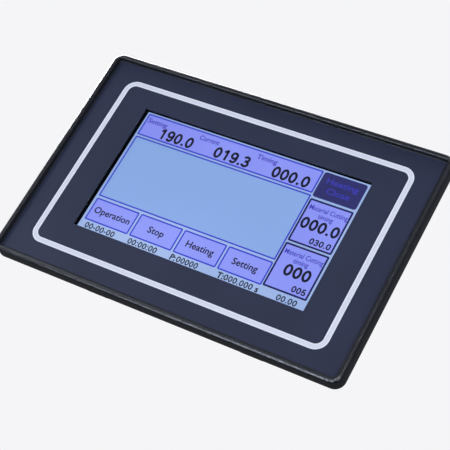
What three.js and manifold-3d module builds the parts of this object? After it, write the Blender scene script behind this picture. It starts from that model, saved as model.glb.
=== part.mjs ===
// A 4.3 inch operator panel for a machine: a framed touch screen in a moulded case that is clamped into
// a cut-out of a cabinet door. Millimetres, +X right, +Z up. The screen faces -Y and the origin is the
// centre of the flange's rear face, the plane that meets the cabinet door.

import * as THREE from 'three';
import { mergeVertices } from 'three/addons/utils/BufferGeometryUtils.js';
import Module from 'manifold-3d';

const wasm = await Module();
wasm.setup();

// ---------------------------------------------------------------------------------- driving dimensions

// Screen, display module and touch glass.
const SCREEN_WIDTH = 95.04;
const SCREEN_HEIGHT = 53.86;
const WINDOW_MARGIN = 0.2; // printed window beyond the lit area
const WINDOW_RAISE = 0.8; // window centre above the panel's centre
const MODULE_SIDE = 5.23; // display frame beyond the lit area, left and right
const MODULE_END = 6.67; // display frame beyond the lit area, above and below
const TOUCH_SIDE = 4.2;
const TOUCH_END = 5.3;
const FIT = 0.3; // gap round a loose fit

// Layers from the front film backwards.
const FILM = 0.25;
const LIP = 0.6; // bezel material under the film
const SEAL = 0.25;
const TOUCH_GLASS = 1.1;
const AIR_GAP = 0.2;
const LCD_GLASS = 1.1;
const BACKLIGHT = 1.8;
const RETAINER_SHEET = 0.6;
const BOARD_GAP = 6.7; // display back to board front
const BOARD = 1.6;

// Bezel and gasket.
const FLANGE_THICKNESS = 6;
const FLANGE_SIDE = 10.9; // flange beyond the case, left and right
const FLANGE_END = 10.3; // flange beyond the case, above and below
const RIM_WIDTH = 2.1;
const RIM_HEIGHT = 2; // rim above the film
const BEZEL_CORNER = 4;
const BEZEL_ROUND = 1.5; // rounding of the front edge
const GASKET_GAP = 2.2; // case wall to gasket
const GASKET_WIDTH = 2.6;
const GASKET_DEPTH = 1; // sunk in its groove
const GASKET_PROUD = 0.6;

// Case.
const WALL = 2;
const SIDE_ROOM = 5.75; // display frame to inner side wall
const END_ROOM = 0.9; // display frame to inner top and bottom wall
const COMPONENT_ROOM = 8.4; // board to the floor of the port bay
const BAY_DEPTH = 10;
const BAY_HEIGHT = 25;
const CASE_CORNER = 3;
const CASE_ROUND = 1;
const POST_INSET = 3; // screw axis from the inner walls
const POST_RADIUS = 2.4;
const BOARD_POST_Z = 21;
const BOARD_POST_RADIUS = 2.2;
const HEAD_SEAT = 3; // column under a case screw's head
const CASE_SCREW = { head: 2.25, headHeight: 1.8, radius: 1.2, length: 10 };
const BOARD_SCREW = { head: 2.2, headHeight: 1.6, radius: 1.2, length: 6 };
const THREAD_GAP = 0.05; // radial gap of a thread in its hole
const VENT_WIDTH = 2;
const VENT_PITCH = 5;
const VENT_LENGTH = 9;
const VENT_INSET = 9; // row of vents below the top of the case
const VENT_SIDE_INSET = 12; // end of the row to the case side
const VENT_CLAMP_GAP = 14; // vents in the top wall to a clamp's centre
const LABEL_WIDTH = 50;
const LABEL_HEIGHT = 22;
const LABEL_FILM = 0.2;

// Display module's sheet parts and flexible tails.
const MODULE_RIM = 1.2; // metal frame round the display glass
const FRAME_SET_BACK = 0.4; // metal frame behind the front of the display glass
const RETAINER_END_BAR = 6;
const RETAINER_LONG_BAR = 8;
const RETAINER_EDGE = 0.3; // retainer inside the edge of the display frame
const RETAINER_EAR = 9;
const FLEX_SHEET = 0.2;
const FLEX_OUT = 2; // tails run this far outside the display frame
const FLEX_BEND = 1; // centre-line radius of a tail's bends
const FLEX_NOTCH = 15.5; // half height of the notches that the tails pass
const LCD_TAIL = [-14, 4];
const TOUCH_TAIL = [7, 14];
const SOCKET_HEIGHT = 2.4;
const SOCKET_DEPTH = 5;
const SOCKET_MARGIN = 1; // socket beyond its tail at each end

// Parts on the board: [width, height] in the front view, and how far each stands off the board.
const BOARD_SIDE_GAP = 1;
const BOARD_END_GAP = 2.5;
const PROCESSOR = { x: -6, z: 10, width: 17, height: 17, stand: 1.4 };
const MEMORY = { x: 12, z: 10, width: 8, height: 14, stand: 1 };
const INDUCTOR = { fromLeft: 17.5, z: -4, side: 12, stand: 5, groove: 3 };
const CAPACITOR = { fromLeft: 33.5, z: -4, radius: 5, stand: 12 };
const UPPER_ROW = 12; // coin cell and buzzer below the top of the board
const CELL = { fromLeft: 21.5, radius: 10, height: 3.2, wall: 1.6, seat: 1, holder: 5, mouth: 12 };
const BUZZER = { fromRight: 23.5, radius: 6, stand: 8.5, hole: 1 };

// Clamps: an M3 set screw with a nylon foot in a hooked bracket.
const CLAMP_INSET = 28; // clamp centre from the case side
const M3_RADIUS = 1.5;
const RUN_GAP = 0.1; // radial running clearance
const FOOT_REST = 5; // foot to the flange's rear face
const FOOT_RADIUS = 2.8;
const FOOT_LENGTH = 2.5;
const SOCKET_SINK = 1.5; // set screw's end sits this deep in the foot
const SET_SCREW_LENGTH = 10;
const KEY_ACROSS = 1.5; // hexagon socket for the key
const KEY_DEPTH = 2;
const BRACKET_WIDTH = 9;
const BRACKET_FRONT = 8.5;
const BRACKET_DEPTH = 4;
const BRACKET_TRAVEL = 3;
const HOOK_WIDTH = 6;
const HOOK_LEG = 2;
const HOOK_SET_BACK = 1; // hook's leg behind the front of its bracket
const HOOK_TOE = 2.5;
const HOOK_SHEET = 1.6;

// Ports on the bay floor, spread evenly from the -X side.
const POLES = 3;
const POLE_PITCH = 5.08;
const TERMINAL_MARGIN = 1; // block beyond its poles
const TERMINAL_DEPTH = 9.8;
const TERMINAL_STAND = 8.6; // block above the bay floor
const TERMINAL_SET_BACK = 2.7; // wire side to the inner wall, clear of the clamps' hooks
const CAGE_TRAVEL = 1.6;
const CAGE = { width: 3.8, height: 4.4, depth: 5.2, wall: 0.6, roof: 1 };
const TERMINAL_SCREW = { head: 1.8, headHeight: 1.6, radius: 1.35, reach: 1.8 };
const TERMINAL_ROOF = 1.4; // plastic between a cage's room and the screw's head
const COM_FLANGE_WIDTH = 30.8;
const COM_FLANGE_HEIGHT = 12.5;
const COM_SHELL_WIDTH = 16.9;
const COM_SHELL_HEIGHT = 8.3;
const COM_SHELL_STAND = 3.8;
const COM_SCREW_SPACING = 24.99;
const COM_SCREW = { radius: 1.42, across: 4.8, height: 5, length: 5, socket: 4 };
const COM_SHEET = 0.5;
const COM_FLANGE = 0.8; // thickness of the steel flange
const COM_CORNER = 2.2;
const COM_LEAN = Math.PI / 18;
const COM_PIN = { pitch: 2.77, row: 1.42, radius: 0.55, depth: 3, rows: [5, 4] };
const USB_WIDTH = 13.1;
const USB_HEIGHT = 5.7;
const USB_STAND = 1;
const USB_SHEET = 0.4;
const USB_TONGUE = 1.8;
const USB_BASE = 2; // plastic base at the bottom of the shell
const DIP_WIDTH = 6.8;
const DIP_LENGTH = 9.9;
const DIP_HEIGHT = 4.4;
const DIP_TRAVEL = 2;
const DIP_PITCH = 2.54;
const SLIDER = { width: 1.3, length: 1.6, gap: 0.2, depth: 1.6, proud: 0.8 };
const TACT_SIZE = 6;
const TACT_HEIGHT = 3.4;
const BUTTON_RADIUS = 1.7;
const BUTTON_TRAVEL = 0.3;
const BUTTON_WELL = 1.4; // depth of the well that the button sits in
const BUTTON_PROUD = 0.4; // button above the bay floor
const PORT_ROW_Z = 12.5; // port row's centre above the bottom of the case
const PORT_HOLE_GAP = 0.4; // gap round a port in the bay floor

// ------------------------------------------------------------------------------------- derived planes

const filmFront = RIM_HEIGHT - FLANGE_THICKNESS;
const filmBack = filmFront + FILM;
const lipBack = filmBack + LIP;
const sealBack = lipBack + SEAL;
const touchBack = sealBack + TOUCH_GLASS;
const lcdFront = touchBack + AIR_GAP;
const lcdGlassBack = lcdFront + LCD_GLASS;
const lcdBack = lcdGlassBack + BACKLIGHT;
const retainerBack = lcdBack + RETAINER_SHEET;
const boardFront = lcdBack + BOARD_GAP;
const boardBack = boardFront + BOARD;
const bayInside = boardBack + COMPONENT_ROOM;
const bayFloor = bayInside + WALL;
const caseBack = bayFloor + BAY_DEPTH;
const columnFront = boardBack + 0.4;
const headPlane = columnFront + HEAD_SEAT;

const windowWidth = SCREEN_WIDTH + 2 * WINDOW_MARGIN;
const windowHeight = SCREEN_HEIGHT + 2 * WINDOW_MARGIN;
const moduleWidth = SCREEN_WIDTH + 2 * MODULE_SIDE;
const moduleHeight = SCREEN_HEIGHT + 2 * MODULE_END;
const touchWidth = SCREEN_WIDTH + 2 * TOUCH_SIDE;
const touchHeight = SCREEN_HEIGHT + 2 * TOUCH_END;
const innerWidth = moduleWidth + 2 * SIDE_ROOM;
const innerHeight = moduleHeight + 2 * END_ROOM;
const caseWidth = innerWidth + 2 * WALL;
const caseHeight = innerHeight + 2 * WALL;
const bezelWidth = caseWidth + 2 * FLANGE_SIDE;
const bezelHeight = caseHeight + 2 * FLANGE_END;
const recessWidth = bezelWidth - 2 * RIM_WIDTH;
const recessHeight = bezelHeight - 2 * RIM_WIDTH;
const bayTop = -caseHeight / 2 + BAY_HEIGHT;
const postX = innerWidth / 2 - POST_INSET;
const postZ = innerHeight / 2 - POST_INSET;
const corners = [[-1, 1], [1, 1], [-1, -1], [1, -1]];

const tailX = moduleWidth / 2 + FLEX_OUT;
const boardWidth = innerWidth - 2 * BOARD_SIDE_GAP;
const boardHeight = innerHeight - 2 * BOARD_END_GAP;

const ARC_STEPS = 3;
const PAST = 1; // how far a cutting shape runs past the face that it cuts

// ------------------------------------------------------------------------------------- solid modelling

/** Turns a closed three.js geometry into a solid that can be cut and joined. */
function solid(geometry) {
  geometry.deleteAttribute('normal');
  geometry.deleteAttribute('uv');
  const merged = mergeVertices(geometry);
  return new wasm.Manifold(new wasm.Mesh({
    numProp: 3,
    vertProperties: new Float32Array(merged.attributes.position.array),
    triVerts: new Uint32Array(merged.index.array),
  }));
}

/** A named mesh from a finished solid. */
function part(name, body, finish) {
  const mesh = body.getMesh();
  const geometry = new THREE.BufferGeometry();
  geometry.setAttribute('position', new THREE.BufferAttribute(new Float32Array(mesh.vertProperties), 3));
  geometry.setIndex(new THREE.BufferAttribute(new Uint32Array(mesh.triVerts), 1));
  geometry.computeVertexNormals();
  const result = new THREE.Mesh(geometry, new THREE.MeshStandardMaterial(finish));
  result.name = name;
  return result;
}

/** A box between two corners. */
function block(x0, x1, y0, y1, z0, z1) {
  const geometry = new THREE.BoxGeometry(x1 - x0, y1 - y0, z1 - z0);
  geometry.translate((x0 + x1) / 2, (y0 + y1) / 2, (z0 + z1) / 2);
  return solid(geometry);
}

/** A box given by its centre in the front view, its two widths and its front and back planes. */
function plate(x, z, width, height, y0, y1) {
  return block(x - width / 2, x + width / 2, y0, y1, z - height / 2, z + height / 2);
}

/** A round bar along Y. */
function rod(x, z, radius, y0, y1, sides = 24) {
  const geometry = new THREE.CylinderGeometry(radius, radius, y1 - y0, sides);
  geometry.translate(x, (y0 + y1) / 2, z);
  return solid(geometry);
}

/** A rectangle with round corners, drawn in the front view. */
function roundedRectangle(width, height, radius, z = 0) {
  const right = width / 2 - radius;
  const top = z + height / 2 - radius;
  const bottom = z - height / 2 + radius;
  const quarter = Math.PI / 2;
  const shape = new THREE.Shape();
  shape.moveTo(-right, bottom - radius);
  shape.lineTo(right, bottom - radius);
  shape.absarc(right, bottom, radius, -quarter, 0);
  shape.lineTo(right + radius, top);
  shape.absarc(right, top, radius, 0, quarter);
  shape.lineTo(-right, top + radius);
  shape.absarc(-right, top, radius, quarter, 2 * quarter);
  shape.lineTo(-right - radius, bottom);
  shape.absarc(-right, bottom, radius, 2 * quarter, 3 * quarter);
  return shape;
}

/** An outline of the front view drawn out between two Y planes; round softens both ends' edges. */
function slab(outline, y0, y1, round = 0) {
  const geometry = new THREE.ExtrudeGeometry(outline, {
    depth: y1 - y0 - 2 * round,
    curveSegments: ARC_STEPS,
    bevelEnabled: round > 0,
    bevelSize: round,
    bevelThickness: round,
    bevelOffset: -round,
    bevelSegments: 3,
  });
  geometry.rotateX(Math.PI / 2);
  geometry.translate(0, y1 - round, 0);
  return solid(geometry);
}

/** A thin bent strip: its centre line in the XY plane, given a thickness and two Z edges. */
function ribbon(points, thickness, z0, z1) {
  const side = (sign) => points.map((point, i) => {
    const before = points[Math.max(i - 1, 0)];
    const after = points[Math.min(i + 1, points.length - 1)];
    const first = point.clone().sub(before).normalize();
    const second = after.clone().sub(point).normalize();
    const along = first.add(second).normalize();
    const spread = sign * thickness / 2;
    return new THREE.Vector2(point.x - along.y * spread, point.y + along.x * spread);
  });
  const outline = new THREE.Shape([...side(1), ...side(-1).reverse()]);
  const strip = new THREE.ExtrudeGeometry(outline, { depth: z1 - z0, bevelEnabled: false });
  return solid(strip.translate(0, 0, z0));
}

/** A screw along Y with its head behind plane seatY; its drive is a cross, or a slot across the head. */
function screw(x, z, seatY, size, length, slotted = false) {
  const { head: headRadius, headHeight, radius } = size;
  const top = seatY + headHeight;
  const crown = headHeight * 0.35;
  const bevel = headRadius * 0.25;
  const profile = [
    new THREE.Vector2(0, -length),
    new THREE.Vector2(radius * 0.7, -length),
    new THREE.Vector2(radius, -length + radius * 0.6),
    new THREE.Vector2(radius, 0),
    new THREE.Vector2(headRadius, 0),
    new THREE.Vector2(headRadius, headHeight - crown),
    new THREE.Vector2(headRadius - bevel, headHeight),
    new THREE.Vector2(0, headHeight),
  ];
  let body = solid(new THREE.LatheGeometry(profile, 24).translate(x, seatY, z));
  const slotWidth = headRadius * 0.26;
  const slotDepth = headHeight * 0.55;
  const slotLength = slotted ? 2 * (headRadius + PAST) : headRadius * 1.1;
  body = body.subtract(plate(x, z, slotLength, slotWidth, top - slotDepth, top + PAST));
  if (!slotted) {
    body = body.subtract(plate(x, z, slotWidth, slotLength, top - slotDepth, top + PAST));
  }
  return body;
}

// --------------------------------------------------------------------------------------------- finishes

const blackPlastic = { color: 0x1f2227, roughness: 0.7, metalness: 0 };
const casePlastic = { color: 0x2a2c30, roughness: 0.75, metalness: 0 };
const navyFilm = { color: 0x33384a, roughness: 0.55, metalness: 0 };
const clearGlass = { color: 0x9fb2c8, roughness: 0.1, metalness: 0 };
const litScreen = { color: 0x8eabe6, roughness: 0.2, metalness: 0 };
const foam = { color: 0x17181a, roughness: 0.95, metalness: 0 };
const gasketRubber = { color: 0x3a3c40, roughness: 0.9, metalness: 0 };
const steel = { color: 0xb4b7ba, roughness: 0.35, metalness: 1 };
const darkSteel = { color: 0x54575b, roughness: 0.4, metalness: 1 };
const boardGreen = { color: 0x1f5a37, roughness: 0.5, metalness: 0 };
const chipBlack = { color: 0x17181b, roughness: 0.6, metalness: 0 };
const portBlack = { color: 0x1b1c1e, roughness: 0.6, metalness: 0 };
const terminalGreen = { color: 0x2f7d46, roughness: 0.55, metalness: 0 };
const amberFlex = { color: 0xb4702a, roughness: 0.4, metalness: 0 };
const nylonWhite = { color: 0xe6e4dc, roughness: 0.6, metalness: 0 };
const switchRed = { color: 0xa3322c, roughness: 0.5, metalness: 0 };
const labelGrey = { color: 0xc9ccce, roughness: 0.5, metalness: 0 };
const capacitorSleeve = { color: 0x26304a, roughness: 0.4, metalness: 0 };

const panel = new THREE.Group();

// ------------------------------------------------------------------------------------- front assembly

function frontBezel() {
  const outline = roundedRectangle(bezelWidth, bezelHeight, BEZEL_CORNER);
  const doubled = slab(outline, -FLANGE_THICKNESS, FLANGE_THICKNESS, BEZEL_ROUND);
  const ahead = -FLANGE_THICKNESS - PAST;
  let body = doubled.intersect(plate(0, 0, bezelWidth + PAST, bezelHeight + PAST, ahead, 0));
  body = body.subtract(plate(0, 0, recessWidth, recessHeight, ahead, filmBack));
  body = body.subtract(plate(0, WINDOW_RAISE, windowWidth, windowHeight, filmBack - PAST, PAST));
  body = body.subtract(plate(0, 0, moduleWidth + 2 * FIT, moduleHeight + 2 * FIT, lipBack, PAST));
  const notchEdge = tailX + FLEX_SHEET + 1;
  body = body.subtract(block(0, notchEdge, lipBack, PAST, -FLEX_NOTCH, FLEX_NOTCH));
  body = body.subtract(gasketRing(RUN_GAP, -GASKET_DEPTH, PAST));
  const root = -FLANGE_THICKNESS / 10; // posts start inside the flange
  for (const [sideX, sideZ] of corners) {
    body = body.add(rod(sideX * postX, sideZ * postZ, POST_RADIUS, root, columnFront));
    body = body.add(rod(sideX * postX, sideZ * BOARD_POST_Z, BOARD_POST_RADIUS, root, boardFront));
  }
  for (const [sideX, sideZ] of corners) {
    const caseHole = CASE_SCREW.radius + THREAD_GAP;
    const boardHole = BOARD_SCREW.radius + THREAD_GAP;
    body = body.subtract(rod(sideX * postX, sideZ * postZ, caseHole, PAST, columnFront + PAST));
    body = body.subtract(rod(sideX * postX, sideZ * BOARD_POST_Z, boardHole, PAST, boardFront + PAST));
  }
  return body;
}

/** The ring that the gasket fills, or its groove when it is made looser. */
function gasketRing(looser, y0, y1) {
  const inner = GASKET_GAP - looser;
  const outer = GASKET_GAP + GASKET_WIDTH + looser;
  const outside = roundedRectangle(caseWidth + 2 * outer, caseHeight + 2 * outer, CASE_CORNER + outer);
  const inside = roundedRectangle(caseWidth + 2 * inner, caseHeight + 2 * inner, CASE_CORNER + inner);
  return slab(outside, y0, y1).subtract(slab(inside, y0 - PAST, y1 + PAST));
}

/** A rectangular frame that leaves the screen's window open. */
function windowFrame(width, height, z, margin, y0, y1) {
  const openWidth = windowWidth + 2 * margin;
  const openHeight = windowHeight + 2 * margin;
  const opening = plate(0, WINDOW_RAISE, openWidth, openHeight, y0 - PAST, y1 + PAST);
  return plate(0, z, width, height, y0, y1).subtract(opening);
}

panel.add(part('front_bezel', frontBezel(), blackPlastic));
const film = windowFrame(recessWidth - 2 * FIT, recessHeight - 2 * FIT, 0, 0, filmFront, filmBack);
panel.add(part('overlay_film', film, navyFilm));
const seal = windowFrame(touchWidth, touchHeight, WINDOW_RAISE, 2 * FIT, lipBack, sealBack);
panel.add(part('touch_seal', seal, foam));
const touchGlass = plate(0, WINDOW_RAISE, touchWidth, touchHeight, sealBack, touchBack);
panel.add(part('touch_panel', touchGlass, clearGlass));
const lcdWidth = moduleWidth - 2 * MODULE_RIM;
const lcdHeight = moduleHeight - 2 * MODULE_RIM;
panel.add(part('lcd_glass', plate(0, 0, lcdWidth, lcdHeight, lcdFront, lcdGlassBack), litScreen));
const backlight = plate(0, 0, moduleWidth, moduleHeight, lcdFront + FRAME_SET_BACK, lcdBack)
  .subtract(plate(0, 0, lcdWidth, lcdHeight, lcdFront, lcdGlassBack))
  .subtract(block(0, moduleWidth, lcdFront, lcdGlassBack, -FLEX_NOTCH, FLEX_NOTCH));
panel.add(part('lcd_backlight_frame', backlight, steel));

function lcdRetainer() {
  const width = moduleWidth - 2 * RETAINER_EDGE;
  const height = moduleHeight - 2 * RETAINER_EDGE;
  const holeWidth = moduleWidth / 2 - 2 * RETAINER_END_BAR;
  const holeHeight = moduleHeight - 2 * RETAINER_LONG_BAR;
  const earZ = BOARD_POST_Z + BOARD_POST_RADIUS;
  let body = plate(0, 0, width, height, lcdBack, retainerBack);
  for (const side of [-1, 1]) {
    const holeX = side * moduleWidth / 4;
    const earX = side * (width - RETAINER_SHEET) / 2;
    body = body.subtract(plate(holeX, 0, holeWidth, holeHeight, lcdBack - PAST, retainerBack + PAST));
    for (const end of [-1, 1]) {
      body = body.add(plate(earX, end * earZ, RETAINER_SHEET, RETAINER_EAR, lcdBack, boardFront));
    }
  }
  return body;
}
panel.add(part('lcd_retainer', lcdRetainer(), steel));

/** A flexible tail from the display edge round the board to its socket. */
function tail(startX, startY, endY, [z0, z1]) {
  const points = [new THREE.Vector2(startX, startY)];
  const centreX = tailX - FLEX_BEND;
  const arc = (centreY, from) => {
    for (let step = 0; step <= ARC_STEPS; step += 1) {
      const angle = from + step * Math.PI / 2 / ARC_STEPS;
      const x = centreX + FLEX_BEND * Math.cos(angle);
      points.push(new THREE.Vector2(x, centreY + FLEX_BEND * Math.sin(angle)));
    }
  };
  arc(startY + FLEX_BEND, -Math.PI / 2);
  arc(endY - FLEX_BEND, 0);
  points.push(new THREE.Vector2(socketEdge + RUN_GAP, endY));
  return ribbon(points, FLEX_SHEET, z0, z1);
}

const socketEdge = moduleWidth / 2 - 2;
const socketMiddle = boardBack + SOCKET_HEIGHT / 2;
const touchTail = tail(touchWidth / 2 + RUN_GAP, (sealBack + touchBack) / 2, socketMiddle, TOUCH_TAIL);
const lcdTail = tail(lcdWidth / 2 + RUN_GAP, lcdFront + LCD_GLASS / 2, socketMiddle, LCD_TAIL);
panel.add(part('touch_flex_tail', touchTail, amberFlex));
panel.add(part('lcd_flex_cable', lcdTail, amberFlex));
panel.add(part('panel_gasket', gasketRing(0, -GASKET_DEPTH, GASKET_PROUD), gasketRubber));

// -------------------------------------------------------------------------------------------- the case

const portZ = -caseHeight / 2 + PORT_ROW_Z;
const terminalWidth = POLES * POLE_PITCH + TERMINAL_MARGIN;
const portWidths = [terminalWidth, COM_FLANGE_WIDTH, USB_WIDTH, DIP_WIDTH, TACT_SIZE];
const bayReach = innerWidth / 2 - 2 * POST_INSET - BOARD_SIDE_GAP; // clear of the corner columns
const portGap = (2 * bayReach - portWidths.reduce((sum, width) => sum + width)) / (portWidths.length + 1);
const portCentres = portWidths.map((width, i) => {
  const before = portWidths.slice(0, i).reduce((sum, other) => sum + other, 0);
  return -bayReach + portGap * (i + 1) + before + width / 2;
});
const [terminalX, comX, usbX, dipX, tactX] = portCentres;
const terminalFront = -innerHeight / 2 + TERMINAL_SET_BACK;
const terminalZ = terminalFront + TERMINAL_DEPTH / 2;
const clampX = caseWidth / 2 - CLAMP_INSET;
const legFront = BRACKET_FRONT + HOOK_SET_BACK;
const slotFront = legFront - FIT;
const slotBack = legFront + HOOK_LEG + BRACKET_TRAVEL + FIT;

/** The outline of a D-shaped connector shell, wider at the top. */
function dShape(width, height, centreX, centreZ) {
  const radius = COM_CORNER;
  const highX = width / 2 - radius;
  const lowX = highX - height * Math.tan(COM_LEAN);
  const shape = new THREE.Shape();
  const low = centreZ - height / 2 + radius;
  const high = centreZ + height / 2 - radius;
  shape.absarc(centreX + lowX, low, radius, -Math.PI / 2, 0);
  shape.absarc(centreX + highX, high, radius, 0, Math.PI / 2);
  shape.absarc(centreX - highX, high, radius, Math.PI / 2, Math.PI);
  shape.absarc(centreX - lowX, low, radius, Math.PI, 1.5 * Math.PI);
  return shape;
}

function rearHousing() {
  const outline = roundedRectangle(caseWidth, caseHeight, CASE_CORNER);
  let body = slab(outline, -caseBack, caseBack, CASE_ROUND)
    .intersect(plate(0, 0, caseWidth + PAST, caseHeight + PAST, 0, caseBack + PAST));
  const below = -caseHeight;
  body = body.subtract(block(-caseWidth, caseWidth, bayFloor, caseBack + PAST, below, bayTop));
  const inside = slab(roundedRectangle(innerWidth, innerHeight, CASE_CORNER - WALL), -PAST, caseBack - WALL);
  body = body.subtract(inside.subtract(
    block(-caseWidth, caseWidth, bayInside, caseBack, below, bayTop + WALL)));
  const columnReach = POST_INSET + FIT;
  const columnSide = columnReach + POST_INSET + WALL / 2;
  for (const [sideX, sideZ] of corners) {
    const back = (sideZ > 0 ? caseBack : bayFloor) - WALL / 2;
    const x = sideX * (postX - columnReach + columnSide / 2);
    const z = sideZ * (postZ - columnReach + columnSide / 2);
    body = body.add(plate(x, z, columnSide, columnSide, columnFront, back));
  }
  for (const [sideX, sideZ] of corners) {
    const x = sideX * postX;
    const z = sideZ * postZ;
    body = body.subtract(rod(x, z, CASE_SCREW.head + FIT, headPlane, caseBack + PAST));
    body = body.subtract(rod(x, z, CASE_SCREW.radius + FIT, columnFront - PAST, headPlane + PAST));
  }
  for (const [side, end] of corners) {
    const edge = end * (caseHeight - WALL) / 2;
    body = body.subtract(plate(side * clampX, edge, HOOK_WIDTH + 2 * FIT, 2 * WALL, slotFront, slotBack));
  }
  return body.subtract(portHoles()).subtract(vents());
}

/** Holes in the bay floor for the ports. */
function portHoles() {
  const y0 = bayInside - PAST;
  const y1 = bayFloor + PAST;
  const spread = 2 * PORT_HOLE_GAP;
  const holes = [
    plate(terminalX, terminalZ, terminalWidth + spread, TERMINAL_DEPTH + spread, y0, y1),
    slab(dShape(COM_SHELL_WIDTH + spread, COM_SHELL_HEIGHT + spread, comX, portZ), y0, y1),
    rod(comX - COM_SCREW_SPACING / 2, portZ, COM_SCREW.radius + FIT, y0, y1),
    rod(comX + COM_SCREW_SPACING / 2, portZ, COM_SCREW.radius + FIT, y0, y1),
    plate(usbX, portZ, USB_WIDTH + spread, USB_HEIGHT + spread, y0, y1),
    plate(dipX, portZ, DIP_WIDTH + spread, DIP_LENGTH + spread, y0, y1),
    rod(tactX, portZ, BUTTON_RADIUS + PORT_HOLE_GAP, y0, y1),
  ];
  return holes.reduce((all, hole) => all.add(hole));
}

/** Cooling slots: a row near the top of the back and a row in the top wall between the clamps. */
function vents() {
  const slots = [];
  const rowZ = ventTop - VENT_LENGTH / 2;
  const inside = caseBack - WALL - PAST;
  const count = Math.floor((caseWidth / 2 - VENT_SIDE_INSET) / VENT_PITCH);
  for (let i = -count; i <= count; i += 1) {
    slots.push(plate(i * VENT_PITCH, rowZ, VENT_WIDTH, VENT_LENGTH, inside, caseBack + PAST));
  }
  const wall = (innerHeight + WALL) / 2;
  const middle = Math.floor((clampX - VENT_CLAMP_GAP) / VENT_PITCH);
  for (let i = -middle; i <= middle; i += 1) {
    slots.push(plate(i * VENT_PITCH, wall, VENT_WIDTH, WALL + PAST, boardBack + WALL, caseBack - VENT_PITCH));
  }
  return slots.reduce((all, slot) => all.add(slot));
}

const ventTop = caseHeight / 2 - VENT_INSET;
panel.add(part('rear_housing', rearHousing(), casePlastic));
corners.forEach(([sideX, sideZ], i) => {
  const body = screw(sideX * postX, sideZ * postZ, headPlane, CASE_SCREW, CASE_SCREW.length);
  panel.add(part(`housing_screw_${i + 1}`, body, darkSteel));
});
const labelZ = (bayTop + ventTop - VENT_LENGTH) / 2;
const label = plate(0, labelZ, LABEL_WIDTH, LABEL_HEIGHT, caseBack, caseBack + LABEL_FILM);
panel.add(part('rating_label', label, labelGrey));

// ------------------------------------------------------------------------------------------ main board

function mainBoard() {
  const front = boardFront - PAST;
  const back = boardBack + PAST;
  let body = plate(0, 0, boardWidth, boardHeight, boardFront, boardBack);
  body = body.subtract(block(tailX - FLEX_BEND, boardWidth, front, back, -FLEX_NOTCH, FLEX_NOTCH));
  const notch = 2 * (POST_RADIUS + 2 * FIT);
  for (const [sideX, sideZ] of corners) {
    const x = sideX * postX;
    body = body.subtract(plate(x, sideZ * postZ, notch, notch, front, back));
    body = body.subtract(rod(x, sideZ * BOARD_POST_Z, BOARD_SCREW.radius + FIT, front, back));
  }
  return body;
}

/** A flat-bodied part that stands on the board. */
function onBoard({ x, z, width, height, stand }) {
  return plate(x, z, width, height, boardBack, boardBack + stand);
}

panel.add(part('main_board', mainBoard(), boardGreen));
corners.forEach(([sideX, sideZ], i) => {
  const body = screw(sideX * postX, sideZ * BOARD_POST_Z, boardBack, BOARD_SCREW, BOARD_SCREW.length);
  panel.add(part(`board_screw_${i + 1}`, body, steel));
});

const upperZ = boardHeight / 2 - UPPER_ROW;
const boardLeft = -boardWidth / 2;
const boardRight = boardWidth / 2;
panel.add(part('processor_chip', onBoard(PROCESSOR), chipBlack));
panel.add(part('memory_chip', onBoard(MEMORY), chipBlack));

const inductorX = boardLeft + INDUCTOR.fromLeft;
const windingTop = boardBack + INDUCTOR.stand;
const inductor = plate(inductorX, INDUCTOR.z, INDUCTOR.side, INDUCTOR.side, boardBack, windingTop)
  .subtract(plate(inductorX, INDUCTOR.z, INDUCTOR.side + 1, INDUCTOR.groove, windingTop - PAST, bayInside));
panel.add(part('power_inductor', inductor, chipBlack));
const canX = boardLeft + CAPACITOR.fromLeft;
const can = rod(canX, CAPACITOR.z, CAPACITOR.radius, boardBack, boardBack + CAPACITOR.stand);
panel.add(part('power_capacitor', can, capacitorSleeve));

const cellX = boardLeft + CELL.fromLeft;
const cellSeat = boardBack + CELL.seat;
const holderTop = boardBack + CELL.holder;
const mouthX = cellX + CELL.radius - PAST;
const cellHolder = rod(cellX, upperZ, CELL.radius + CELL.wall, boardBack, holderTop, 32)
  .subtract(rod(cellX, upperZ, CELL.radius + RUN_GAP, cellSeat, holderTop + PAST, 32))
  .subtract(plate(mouthX, upperZ, CELL.radius, CELL.mouth, cellSeat, holderTop + PAST));
panel.add(part('coin_cell_holder', cellHolder, portBlack));
const coinCell = rod(cellX, upperZ, CELL.radius, cellSeat, cellSeat + CELL.height, 32);
panel.add(part('coin_cell', coinCell, steel));

const buzzerX = boardRight - BUZZER.fromRight;
const buzzerTop = boardBack + BUZZER.stand;
const buzzer = rod(buzzerX, upperZ, BUZZER.radius, boardBack, buzzerTop)
  .subtract(rod(buzzerX, upperZ, BUZZER.hole, buzzerTop - 2 * PAST, buzzerTop + PAST, 12));
panel.add(part('buzzer', buzzer, portBlack));

/** A tail's socket, a little longer than the tail is wide. */
function flexSocket([z0, z1]) {
  const left = socketEdge - SOCKET_DEPTH;
  const back = boardBack + SOCKET_HEIGHT;
  return block(left, socketEdge, boardBack, back, z0 - SOCKET_MARGIN, z1 + SOCKET_MARGIN);
}
panel.add(part('lcd_flex_socket', flexSocket(LCD_TAIL), nylonWhite));
panel.add(part('touch_flex_socket', flexSocket(TOUCH_TAIL), nylonWhite));

// ------------------------------------------------------------------------------------- serial port

const shellTop = bayFloor + COM_SHELL_STAND;
const comFlange = bayInside - WALL / 2;
const screwOffsets = [-COM_SCREW_SPACING / 2, COM_SCREW_SPACING / 2];

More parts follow.
